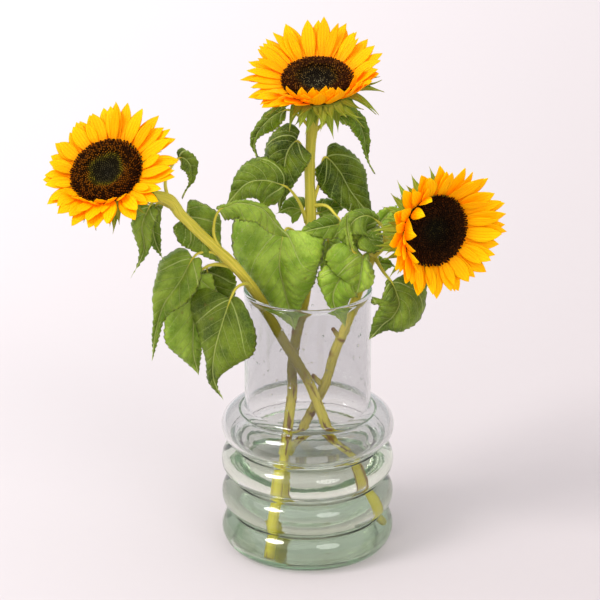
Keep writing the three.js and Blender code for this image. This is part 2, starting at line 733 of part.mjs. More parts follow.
function leafyStem(stem, head, leaves) {
  const curve = stemCurve(stem, head);
  const parts = [toSolid(tube(curve, STEM_STEPS, STEM_SIDES, stem.radius, stem.radius))];
  for (const stub of stem.stubs) {
    const line = new THREE.LineCurve3(vector(stub.from), vector(stub.to));
    parts.push(toSolid(tube(line, 1, 6, stub.radius, stub.radius)));
  }
  for (const leaf of leaves) {
    parts.push(leafSolid(leaf));
  }
  return mainBody(joined(parts));
}

// Points on a ring's outside or inside, from angles in degrees above the ring's own middle.
function ringArc(centreRadius, height, section, angles) {
  return angles.map((degrees) => {
    const angle = THREE.MathUtils.degToRad(degrees);
    return [centreRadius + section * Math.cos(angle), height + section * Math.sin(angle)];
  });
}

function vaseProfiles() {
  const { centreRadius, height: lowest, section } = BOTTOM_RING;
  const outer = ringArc(centreRadius, lowest, section, [-72, -36, 0, 36]);
  const inner = ringArc(centreRadius, lowest, section - WALL, [-22, 10, 42]);
  let below = lowest;
  for (const height of RING_HEIGHTS) {
    const groove = (height + below) / 2;
    outer.push([GROOVE_RADIUS, groove]);
    inner.push([GROOVE_RADIUS - WALL, groove]);
    outer.push(...ringArc(RING_CENTRE_RADIUS, height, RING_SECTION, [-54, -18, 18, 54]));
    inner.push(...ringArc(RING_CENTRE_RADIUS, height, RING_SECTION - WALL, [-50, 0, 50]));
    below = height;
  }
  return { outer, inner };
}

function vaseSolid() {
  const { outer, inner } = vaseProfiles();
  const bore = NECK_RADIUS - WALL;
  const shoulder = RING_HEIGHTS[2] + RING_SECTION;
  const lip = [
    [NECK_RADIUS, VASE_HEIGHT - 1.6], [NECK_RADIUS - WALL / 2, VASE_HEIGHT], [bore, VASE_HEIGHT - 1.6],
  ];
  const profile = [
    [0, 0], [FOOT_RADIUS, 0], ...outer, [RING_CENTRE_RADIUS + 2, shoulder], [NECK_RADIUS, shoulder + 4],
    ...lip, [bore, shoulder + 2], [RING_CENTRE_RADIUS, shoulder - WALL - 0.5], ...inner.reverse(),
    [RING_CENTRE_RADIUS + 3, FLOOR_THICKNESS], [0, FLOOR_THICKNESS],
  ];
  return toSolid(turned(profile, VASE_SEGMENTS));
}

// The water fills the vase's inside up to its level, a hair clear of the glass.
function waterSolid(stemCurves) {
  const { inner } = vaseProfiles();
  const wall = [[RING_CENTRE_RADIUS + 3, FLOOR_THICKNESS], ...inner].map(([r, h]) => [r - CLEARANCE, h]);
  wall[0][1] += CLEARANCE;
  const wet = wall.filter(([, height]) => height < WATER_LEVEL);
  const dry = wall[wet.length];
  const last = wet[wet.length - 1];
  const share = (WATER_LEVEL - last[1]) / (dry[1] - last[1]);
  wet.push([last[0] + (dry[0] - last[0]) * share, WATER_LEVEL]);
  const profile = [[0, FLOOR_THICKNESS + CLEARANCE], ...wet, [0, WATER_LEVEL]];
  let water = toSolid(turned(profile, VASE_SEGMENTS));
  for (const { curve, radius } of stemCurves) {
    water = water.subtract(toSolid(tube(curve, STEM_STEPS, STEM_SIDES, radius, radius)));
  }
  return mainBody(water);
}

const glass = new THREE.MeshStandardMaterial({
  color: 0xdfe9e4, roughness: 0.05, metalness: 0, transparent: true, opacity: 0.35,
});
const water = new THREE.MeshStandardMaterial({
  color: 0xe4efe6, roughness: 0.03, metalness: 0, transparent: true, opacity: 0.3,
});
const greenStem = new THREE.MeshStandardMaterial({ color: 0x6f9a2c, roughness: 0.6, metalness: 0 });
const greenCup = new THREE.MeshStandardMaterial({ color: 0x7ba03a, roughness: 0.65, metalness: 0 });
const yellow = new THREE.MeshStandardMaterial({ color: 0xf9b10a, roughness: 0.55, metalness: 0 });
const brown = new THREE.MeshStandardMaterial({ color: 0x2c1a0c, roughness: 0.85, metalness: 0 });

const sunflowers = new THREE.Group();
sunflowers.name = 'sunflowers_in_vase';
sunflowers.add(toMesh('vase', vaseSolid(), glass));

const leaves = { left: LEFT_LEAVES, top: TOP_LEAVES, right: RIGHT_LEAVES };
const holes = Object.keys(HEADS).map((side) => ({
  curve: stemCurve(STEMS[side], HEADS[side]),
  radius: STEMS[side].radius + CLEARANCE,
}));
sunflowers.add(toMesh('water', waterSolid(holes), water));

for (const side of Object.keys(HEADS)) {
  const head = HEADS[side];
  const frame = headFrame(head);
  sunflowers.add(toMesh(`${side}_leafy_stem`, leafyStem(STEMS[side], head, leaves[side]), greenStem));
  for (const [name, solid, material] of [
    ['bracts', bractSolid(head), greenCup],
    ['petals', petalSolid(head), yellow],
    ['disc', discSolid(), brown],
  ]) {
    const mesh = toMesh(`${side}_${name}`, solid, material);
    mesh.geometry.applyMatrix4(frame);
    sunflowers.add(mesh);
  }
}

export default sunflowers;
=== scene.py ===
import math

import bmesh
import bpy
from mathutils import Matrix, Vector, noise


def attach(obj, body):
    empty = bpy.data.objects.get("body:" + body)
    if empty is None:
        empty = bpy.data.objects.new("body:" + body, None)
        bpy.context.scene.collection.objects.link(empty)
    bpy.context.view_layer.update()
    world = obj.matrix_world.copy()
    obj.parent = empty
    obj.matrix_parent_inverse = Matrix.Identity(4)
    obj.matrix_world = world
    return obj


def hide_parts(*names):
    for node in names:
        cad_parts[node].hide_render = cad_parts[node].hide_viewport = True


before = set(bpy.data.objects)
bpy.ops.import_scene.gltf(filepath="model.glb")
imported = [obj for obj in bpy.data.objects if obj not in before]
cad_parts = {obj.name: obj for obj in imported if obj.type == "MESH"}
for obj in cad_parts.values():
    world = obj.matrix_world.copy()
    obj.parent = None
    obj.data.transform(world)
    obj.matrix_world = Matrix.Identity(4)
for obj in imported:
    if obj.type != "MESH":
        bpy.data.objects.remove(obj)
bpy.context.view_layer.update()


# The vase
# A clear, faintly green glass vase, blown as one piece into a mould: a thick foot, four rounded
# rings with tight creases between them, a shoulder and a straight neck with a melted-round lip.

# One millimetre in the scene's metres.
MM = 0.001
VASE_HEIGHT = 288
NECK_RADIUS = 65.7
WALL = 3.5
FLOOR_THICKNESS = 10
FLOOR_RING = 40
CREASE = 0.9
SHOULDER_BEND = 5
FLOOR_BEND = 5
# The straight neck's first ring, how far apart they are and how far from the rim they stay.
NECK_START = 170
NECK_STEP = 10
NECK_MARGIN = 6
LIP_RADIUS = 2.6
# The bearings, in degrees, between which the lip's bead stands proud of the wall.
LIP_BEAD = (-40, 220)
# The slightly hollow underside of the foot, as radius and height from its middle to its edge.
FOOT = [(0, 1.2), (40, 1.2), (56, 0.8), (62, 0.1)]
FOOT_EDGE_BEARING = -88
# Each ring's centre radius, the height of its middle and the radius of its section.
RINGS = [(68, 22, 22), (71, 60, 19), (71, 98, 19), (71, 136, 19)]
VASE_SEGMENTS = 160
# Blown glass is never quite round: how far the wall wanders, and over what height it changes.
GLASS_WOBBLE = 0.25
WOBBLE_HEIGHT = 60
WOBBLE_LUMPS = 1.7
GLASS_IOR = 1.5
GLASS_SHADE = (0.89, 0.89, 0.89, 1.0)
GLASS_DEPTH_TINT = (0.0, 0.50, 0.05, 1.0)
GLASS_DEPTH_STRENGTH = 4.8
# The glass's colour by height: the foot is green by its own tint and darker by painted shade, the rings are
# clear, and the shoulder band and greyer neck are painted shade.
GLASS_TINT_AND_PAINTED_SHADE = [
    (0.0, (0.70, 0.735, 0.66, 1.0)), (0.09, (0.90, 0.92, 0.88, 1.0)), (0.18, (1.0, 1.0, 0.995, 1.0)),
    (0.42, (1.0, 1.0, 0.99, 1.0)), (0.46, (0.80, 0.80, 0.80, 1.0)), (0.51, (0.71, 0.71, 0.715, 1.0)),
    (0.60, (0.815, 0.814, 0.824, 1.0)), (1.0, (0.808, 0.808, 0.818, 1.0)),
]


def tone(red, green, blue):
    """A colour as it looks on a screen, from 0 to 255, as the shader's own linear colour."""
    def linear(level):
        share = level / 255
        return share / 12.92 if share <= 0.04045 else ((share + 0.055) / 1.055) ** 2.4
    return (linear(red), linear(green), linear(blue), 1.0)


class Value:
    """A socket in a finish, so that shader maths reads as plain sums."""

    def __init__(self, finish, socket):
        self.finish = finish
        self.socket = socket

    def maths(self, operation, *terms):
        return self.finish.node("ShaderNodeMath", {"operation": operation}, dict(enumerate(terms)))

    def __add__(self, other):
        return self.maths("ADD", self, other)

    def __radd__(self, other):
        return self.maths("ADD", other, self)

    def __sub__(self, other):
        return self.maths("SUBTRACT", self, other)

    def __mul__(self, other):
        return self.maths("MULTIPLY", self, other)

    def __rmul__(self, other):
        return self.maths("MULTIPLY", other, self)

    def __truediv__(self, other):
        return self.maths("DIVIDE", self, other)

    def __abs__(self):
        return self.maths("ABSOLUTE", self)

    def sign(self):
        return self.maths("SIGN", self)

    def fraction(self):
        return self.maths("FRACT", self)

    def larger(self, other):
        return self.maths("MAXIMUM", self, other)

    def fade(self, start, end, first=0.0, last=1.0):
        """Goes smoothly from first to last while this value goes from start to end."""
        limits = {"Value": self, "From Min": start, "From Max": end, "To Min": first, "To Max": last}
        return self.finish.node("ShaderNodeMapRange", {"interpolation_type": "SMOOTHSTEP"}, limits)


class Finish:
    """The look of one kind of surface: a material with one main shader."""

    def __init__(self, name):
        self.material = bpy.data.materials.new(name)
        self.material.use_nodes = True
        self.tree = self.material.node_tree
        self.tree.nodes.clear()
        self.output = self.tree.nodes.new("ShaderNodeOutputMaterial")
        self.shader = self.tree.nodes.new("ShaderNodeBsdfPrincipled")
        self.tree.links.new(self.shader.outputs["BSDF"], self.output.inputs["Surface"])

    def put(self, made, sockets):
        for name, value in sockets.items():
            if isinstance(value, Value):
                self.tree.links.new(value.socket, made.inputs[name])
            else:
                made.inputs[name].default_value = value

    def node(self, kind, settings=None, sockets=None, result=0):
        made = self.tree.nodes.new(kind)
        for name, value in (settings or {}).items():
            if name == "stops":
                first, *middle, last = value
                made.color_ramp.elements[0].position, made.color_ramp.elements[0].color = first
                made.color_ramp.elements[1].position, made.color_ramp.elements[1].color = last
                for place, colour in middle:
                    made.color_ramp.elements.new(place).color = colour
            else:
                setattr(made, name, value)
        self.put(made, sockets or {})
        return Value(self, made.outputs[result])

    def set(self, **sockets):
        """Sets the main shader's sockets: base_color stands for Base Color, and so on."""
        self.put(self.shader, {name.replace("_", " ").title(): value for name, value in sockets.items()})

    def mark(self, name, part="Vector"):
        """What a shape has written at its points under this name."""
        return self.node("ShaderNodeAttribute", {"attribute_name": name}, result=part)

    def split(self, vector):
        """The three numbers of a vector."""
        parts = self.node("ShaderNodeSeparateXYZ", {}, {"Vector": vector})
        outputs = parts.socket.node.outputs
        return [Value(self, socket) for socket in outputs]

    def join(self, x, y, z):
        return self.node("ShaderNodeCombineXYZ", {}, {"X": x, "Y": y, "Z": z})

    def speckle(self, vector, scale, detail):
        """Cloudy unevenness from 0 to 1 at this many lumps to one unit of the vector."""
        return self.node("ShaderNodeTexNoise", {}, {
            "Vector": vector, "Scale": scale, "Detail": detail, "Roughness": 0.55})

    def blend(self, mask, first, second):
        """The first colour where the mask is 0 and the second where it is 1."""
        return self.node("ShaderNodeMix", {"data_type": "RGBA"}, {0: mask, 6: first, 7: second}, result=2)

    def relief(self, height, depth, strength):
        """Raises the surface's shading by this height map, whose depth is in metres."""
        self.set(normal=self.node("ShaderNodeBump", {}, {
            "Height": height, "Distance": depth, "Strength": strength}))

    def sheen(self, level):
        """How much light glances off the surface: 0.5 is a plain clear varnish."""
        self.put(self.shader, {"Specular IOR Level": level})


class Shape:
    """The points and faces of one piece in millimetres, with the marks that its finish reads."""

    def __init__(self):
        self.points = []
        self.faces = []
        self.marks = {}

    def point(self, place, **marks):
        self.points.append(Vector(place))
        for name, value in marks.items():
            self.marks.setdefault(name, []).append(value)
        return len(self.points) - 1

    def face(self, *corners):
        kept = list(dict.fromkeys(corners))
        if len(kept) > 2:
            self.faces.append(kept)

    def wrap(self, rows):
        """Faces between closed rings of points, from each ring to the next."""
        for low, high in zip(rows, rows[1:]):
            for j in range(len(low)):
                after = (j + 1) % len(low)
                self.face(low[j], low[after], high[after], high[j])

    def blade(self, upper, lower):
        """The two faces of a thin blade, each from rows of points that meet at the rim."""
        for sheet, turned_over in ((upper, False), (lower, True)):
            for near, far in zip(sheet, sheet[1:]):
                for j in range(len(near) - 1):
                    corners = [near[j], near[j + 1], far[j + 1], far[j]]
                    self.face(*(corners[::-1] if turned_over else corners))

    def build(self, name, finish, place=Matrix.Identity(4)):
        """Makes the piece in metres, smooth and with its faces looking outwards."""
        mesh = bpy.data.meshes.new(name)
        corners = [(place @ point) * MM for point in self.points]
        mesh.from_pydata(corners, [], self.faces)
        for mark, values in self.marks.items():
            if isinstance(values[0], (int, float)):
                mesh.attributes.new(mark, "FLOAT", "POINT").data.foreach_set("value", values)
            else:
                flat = [number for value in values for number in value]
                mesh.attributes.new(mark, "FLOAT_VECTOR", "POINT").data.foreach_set("vector", flat)
        solid = bmesh.new()
        solid.from_mesh(mesh)
        bmesh.ops.recalc_face_normals(solid, faces=solid.faces)
        solid.to_mesh(mesh)
        solid.free()
        mesh.shade_smooth()
        mesh.materials.append(finish.material)
        made = bpy.data.objects.new(name, mesh)
        bpy.context.scene.collection.objects.link(made)
        return made


def turns(count):
    """Even angles all the way round, in radians."""
    return [2 * math.pi * j / count for j in range(count)]


def arc(centre, radius, first, last, step=5):
    """Radius and height pairs on a round stretch of a profile, between two bearings in degrees."""
    count = max(2, math.ceil(abs(last - first) / step))
    bearings = [math.radians(first + (last - first) * i / count) for i in range(count + 1)]
    return [(centre[0] + radius * math.cos(b), centre[1] + radius * math.sin(b)) for b in bearings]


def crease_between(lower, upper):
    """Where two stacked rings run into the small bend between them: its centre and the two bearings."""
    across = upper[0] - lower[0]
    rise = upper[1] - lower[1]
    distance = math.hypot(across, rise)
    near = lower[2] + CREASE
    far = upper[2] + CREASE
    turn = math.acos((distance ** 2 + near ** 2 - far ** 2) / (2 * distance * near))
    leaving = math.atan2(rise, across) - turn
    centre = (lower[0] + near * math.cos(leaving), lower[1] + near * math.sin(leaving))
    meeting = math.atan2(centre[1] - upper[1], centre[0] - upper[0])
    return centre, math.degrees(leaving), math.degrees(meeting)


def wall_profile(inset, start):
    """Up the wall from a bearing on the bottom ring to the neck, this far inside the outer face."""
    points = []
    for ring, above in zip(RINGS, RINGS[1:]):
        bend, leaving, meeting = crease_between(ring, above)
        points += arc(ring[:2], ring[2] - inset, start, leaving)
        points += arc(bend, CREASE + inset, leaving + 180, meeting + 180, step=20)
        start = meeting
    radius, height, section = RINGS[-1]
    across = NECK_RADIUS + SHOULDER_BEND - radius
    leaving = math.degrees(math.acos(across / (section + SHOULDER_BEND)))
    bend = (NECK_RADIUS + SHOULDER_BEND, height + (section + SHOULDER_BEND) * math.sin(math.radians(leaving)))
    points += arc((radius, height), section - inset, start, leaving)
    points += arc(bend, SHOULDER_BEND + inset, leaving + 180, 180, step=15)
    return points


def floor_corner(inset):
    """The rounded corner between the inside floor and the bottom ring, and the bearing where it ends."""
    radius, height, section = RINGS[0]
    up = FLOOR_THICKNESS + FLOOR_BEND - height
    out = math.sqrt((section - WALL - FLOOR_BEND) ** 2 - up ** 2)
    bearing = math.degrees(math.atan2(up, out))
    centre = (radius + out, height + up)
    return arc(centre, FLOOR_BEND + WALL - inset, -90, bearing, step=10), bearing


def turned(profile, segments, wobble=0.0):
    """A body turned about the upright line through the origin, from its profile's points."""
    shape = Shape()
    rows = []
    for radius, height in profile:
        if radius == 0:
            rows.append([shape.point((0, 0, height))] * segments)
            continue
        row = []
        for turn in turns(segments):
            aside = Vector((math.cos(turn), math.sin(turn), height / WOBBLE_HEIGHT))
            reach = radius + wobble * noise.noise(aside * WOBBLE_LUMPS)
            row.append(shape.point((reach * math.cos(turn), reach * math.sin(turn), height)))
        rows.append(row)
    shape.wrap(rows)
    return shape


def clear_finish(name, ior, shade, depth_tint, depth_strength):
    """Clear glass or water: light that only passes through to another surface isn't bent."""
    finish = Finish(name)
    finish.set(base_color=(1.0, 1.0, 1.0, 1.0), roughness=0.0, transmission_weight=1.0)
    finish.put(finish.shader, {"IOR": ior})
    rays = finish.node("ShaderNodeLightPath", result="Is Shadow Ray")
    scattered = Value(finish, rays.socket.node.outputs["Is Diffuse Ray"])
    passing = finish.node("ShaderNodeBsdfTransparent", {}, {"Color": shade})
    mixed = finish.node("ShaderNodeMixShader", {}, {
        0: rays.larger(scattered), 1: Value(finish, finish.shader.outputs["BSDF"]), 2: passing})
    depth = finish.node("ShaderNodeVolumeAbsorption", {}, {"Color": depth_tint, "Density": depth_strength})
    finish.tree.links.new(mixed.socket, finish.output.inputs["Surface"])
    finish.tree.links.new(depth.socket, finish.output.inputs["Volume"])
    return finish


outside = FOOT + wall_profile(0, FOOT_EDGE_BEARING)
straight = [(NECK_RADIUS, height) for height in range(NECK_START, VASE_HEIGHT - NECK_MARGIN, NECK_STEP)]
lip = arc((NECK_RADIUS - WALL / 2, VASE_HEIGHT - LIP_RADIUS), LIP_RADIUS, *LIP_BEAD, step=26)
bore = [(NECK_RADIUS - WALL, height) for _, height in straight]
inside_corner, corner_bearing = floor_corner(WALL)
inside = [(0, FLOOR_THICKNESS), (FLOOR_RING, FLOOR_THICKNESS)] + inside_corner
inside += wall_profile(WALL, corner_bearing)
profile = outside + straight + lip + bore[::-1] + inside[::-1]

glass = clear_finish("vase_glass", GLASS_IOR, GLASS_SHADE, GLASS_DEPTH_TINT, GLASS_DEPTH_STRENGTH)
place = glass.node("ShaderNodeTexCoord", result="Object")
height = glass.split(place)[2].fade(0.0, VASE_HEIGHT * MM)
# Painted shade: this colour ramp darkens the foot, the shoulder band and the neck, over the foot's own green.
glass.set(base_color=glass.node("ShaderNodeValToRGB", {"stops": GLASS_TINT_AND_PAINTED_SHADE}, {"Fac": height}))
ripple = glass.speckle(place, 14.0, 1.0) + 0.15 * glass.speckle(place, 90.0, 2.0)
glass.relief(ripple, 0.0012, 0.6)
vase = turned(profile, VASE_SEGMENTS, GLASS_WOBBLE).build("vase_glass_body", glass)
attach(vase, "root")
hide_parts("vase")


# The stems
# Three cut stems, green and yellowish with lengthwise ridges, slightly swollen where a leaf stalk
# leaves them and browned by scars and torn skin lower down, with stiff short hairs all over.

STEM_RINGS = 150
STEM_SIDES = 36
STEM_RIDGES = 11
CUP_DEPTH = 22
# How far under the cup the stem turns to the head's own direction, and how far it runs into it.
TURN_UNDER_CUP = 14
RUN_INTO_CUP = 2
STALK_RADIUS = 1.9
STALK_END_RADIUS = 0.9
STALK_RINGS = 44
STALK_SIDES = 10
STUB_RINGS = 8
STUB_SIDES = 12
# Swellings where a stalk leaves, at a scar and under the cup, as shares of the stem's radius,
# and the millimetres along the stem over which each of them fades away.
JOINT_SWELL = 0.08
JOINT_SPREAD = 6
SCAR_SWELL = 0.07
SCAR_SPREAD = 2.5
MOST_SWELL = 0.10
CUP_SWELL = 0.35
CUP_SPREAD = 14
# Ridges and lumps, as shares of the radius, and how far a scar's brown reaches.
RIDGE_SHARE = 0.018
LUMP_SHARE = 0.05
SCAR_STAIN = 4.2
# How far the midrib's rod runs into the blade, as a share of it, and how deep it lies under it.
MIDRIB_SHARE = 0.86
MIDRIB_SINK = 0.95
STEM_HAIRS = 2400
STALK_HAIRS = 110
HAIR_THICKNESS = 0.07
# The angles of a hair's three edges, in radians.
HAIR_EDGES = (0.0, 2.094, 4.189)
# The stretch of each stem that has hairs, from above the vase's rings to the cup.
HAIRY_STRETCH = (0.42, 0.97)

STEM_GREEN = tone(194, 184, 56)
STEM_YELLOW = tone(240, 220, 92)
UPPER_STEM = tone(188, 188, 76)
PALE_FLECK = tone(226, 214, 120)
WET_STEM = tone(210, 204, 30)
SHADED_STEM = tone(120, 110, 6)
MIDRIB_GREEN = tone(160, 178, 84)
SCAR_BROWN = tone(124, 82, 24)
HAIR_GREEN = tone(196, 200, 130)
HAIR_WHITE = tone(232, 234, 200)

# Each head's centre, the way it faces and, at eight directions round it that start on the right
# and go up and round to the left, how far the petal tips reach, how steeply the petals rise and
# how far they curl from root to tip.
HEADS = {
    "left": {
        "centre": (-199, -85, 444), "facing": (-0.25, -0.58, 0.766), "seed": 11, "fill": 14,
        "reach": (80, 75, 74, 63, 64, 68, 72, 77),
        "rise": (17, 18, 18, 20, 16, 14, 14, 16),
        "curl": (-14, -14, -14, -12, -14, -14, -14, -14),
        "bract_rise": -38, "bract_reach": (1, 1, 1, 1, 1, 1, 1, 1),
        "folded": [
            (214, 50, 40, 17), (228, 56, 60, 17), (241, 64, 70, 15), (254, 60, 60, 17), (267, 68, 66, 15),
            (282, 58, 50, 17), (296, 50, 44, 18),
        ],
    },
    "top": {
        "centre": (10, 38, 499), "facing": (0, -0.358, 0.934), "seed": 23, "fill": 24,
        "reach": (63, 77, 81, 77, 77, 73, 52, 56),
        "rise": (32, 18, 24, 16, 4, 2, 60, 50),
        "curl": (-6, -14, -12, -12, -12, -10, 35, 30),
        "bract_rise": -12, "bract_reach": (1.4, 1.1, 1, 1, 1.15, 1, 1, 1.2),
        "folded": [
            (228, 40, 20, 34), (240, 56, 40, 34), (252, 64, 60, 31), (263, 70, 74, 29), (275, 74, 66, 28),
            (287, 68, 78, 29), (299, 62, 70, 33), (312, 54, 60, 35), (325, 46, 50, 35),
        ],
    },
    "right": {
        "centre": (128, -48, 368), "facing": (0.49, -0.87, 0.03), "seed": 37, "fill": 14,
        "reach": (77, 73, 71, 70, 65, 64, 66, 71),
        "rise": (25, 25, 24, 28, 38, 36, 28, 25),
        "curl": (-16, -16, -14, -8, 4, 4, -12, -16),
        "bract_rise": -14, "bract_reach": (1, 1, 1, 1.1, 1.1, 1, 1, 1),
        "folded": [
            (118, 70, 60, 22), (140, 84, 70, 24), (158, 76, 90, 21), (172, 82, 80, 27), (190, 84, 74, 22),
            (206, 80, 64, 25), (222, 66, 50, 24),
        ],
    },
}

# Each stem's radius, how far painted shade darkens it in the vase's neck, its route up from the cut
# end to just under the head, the short stubs of stalks that were cut off it, each with its root, its
# end and its thickness, and the heights of its brown scars.
STEMS = {
    "left": {
        "radius": 5.3,
        "dull": 0.85,
        "route": [
            (69, -2, 16), (46, -8, 72), (23, -13, 130), (4, -15, 182), (-7, -16, 205),
            (-28, -15, 241), (-46, -14, 276), (-68, -25, 313), (-89, -37, 341), (-109, -47, 365),
            (-128, -56, 389), (-142, -62, 408),
        ],
        "stubs": [],
        "scars": [84, 104, 118, 129, 143],
    },
    "top": {
        "radius": 5.4,
        "dull": 0.85,
        "route": [
            (-38, -66, 14), (-28, -40, 78), (-20, -12, 142), (-16, -4, 175), (-16, 4, 198),
            (-11, 14, 234), (-4, 24, 260), (2, 31, 306), (3, 36, 354), (2, 42, 406),
            (5, 48, 448),
        ],
        "stubs": [],
        "scars": [132, 168, 232],
    },
    "right": {
        "radius": 5,
        "dull": 0.35,
        "route": [
            (-21, 45, 15), (-15, 24, 70), (-6, 2, 126), (5, 2, 151), (19, 2, 182),
            (29, 2, 218), (40, 1, 246), (61, -2, 310), (71, -5, 331),
        ],
        "stubs": [((33, 2, 231), (26, -3, 244), 2.6), ((14, 2, 180), (5, -1, 191), 2.8)],
        "scars": [112, 126, 148, 182, 214, 231],
    },
}


def leaf(stalk, rib, width, facing, pale_and_lit, fold=(8, 8), heart=0.12, taper=1.6, curl=0.16, halves=()):
    """A stalk from inside the stem, the midrib's points from there to the tip, and the blade's form.

    How pale its green is, from 0 to 1, is partly the leaf's own tone and partly painted light and
    shade, lighter for a leaf that stands lit and darker for one in shade. Each half has its own fold
    in degrees, and may have its own widths at even steps to the tip."""
    return {
        "stalk": stalk, "rib": rib, "width": width, "facing": facing, "pale_and_lit": pale_and_lit, "fold": fold,
        "heart": heart, "taper": taper, "curl": curl, "halves": halves,
    }


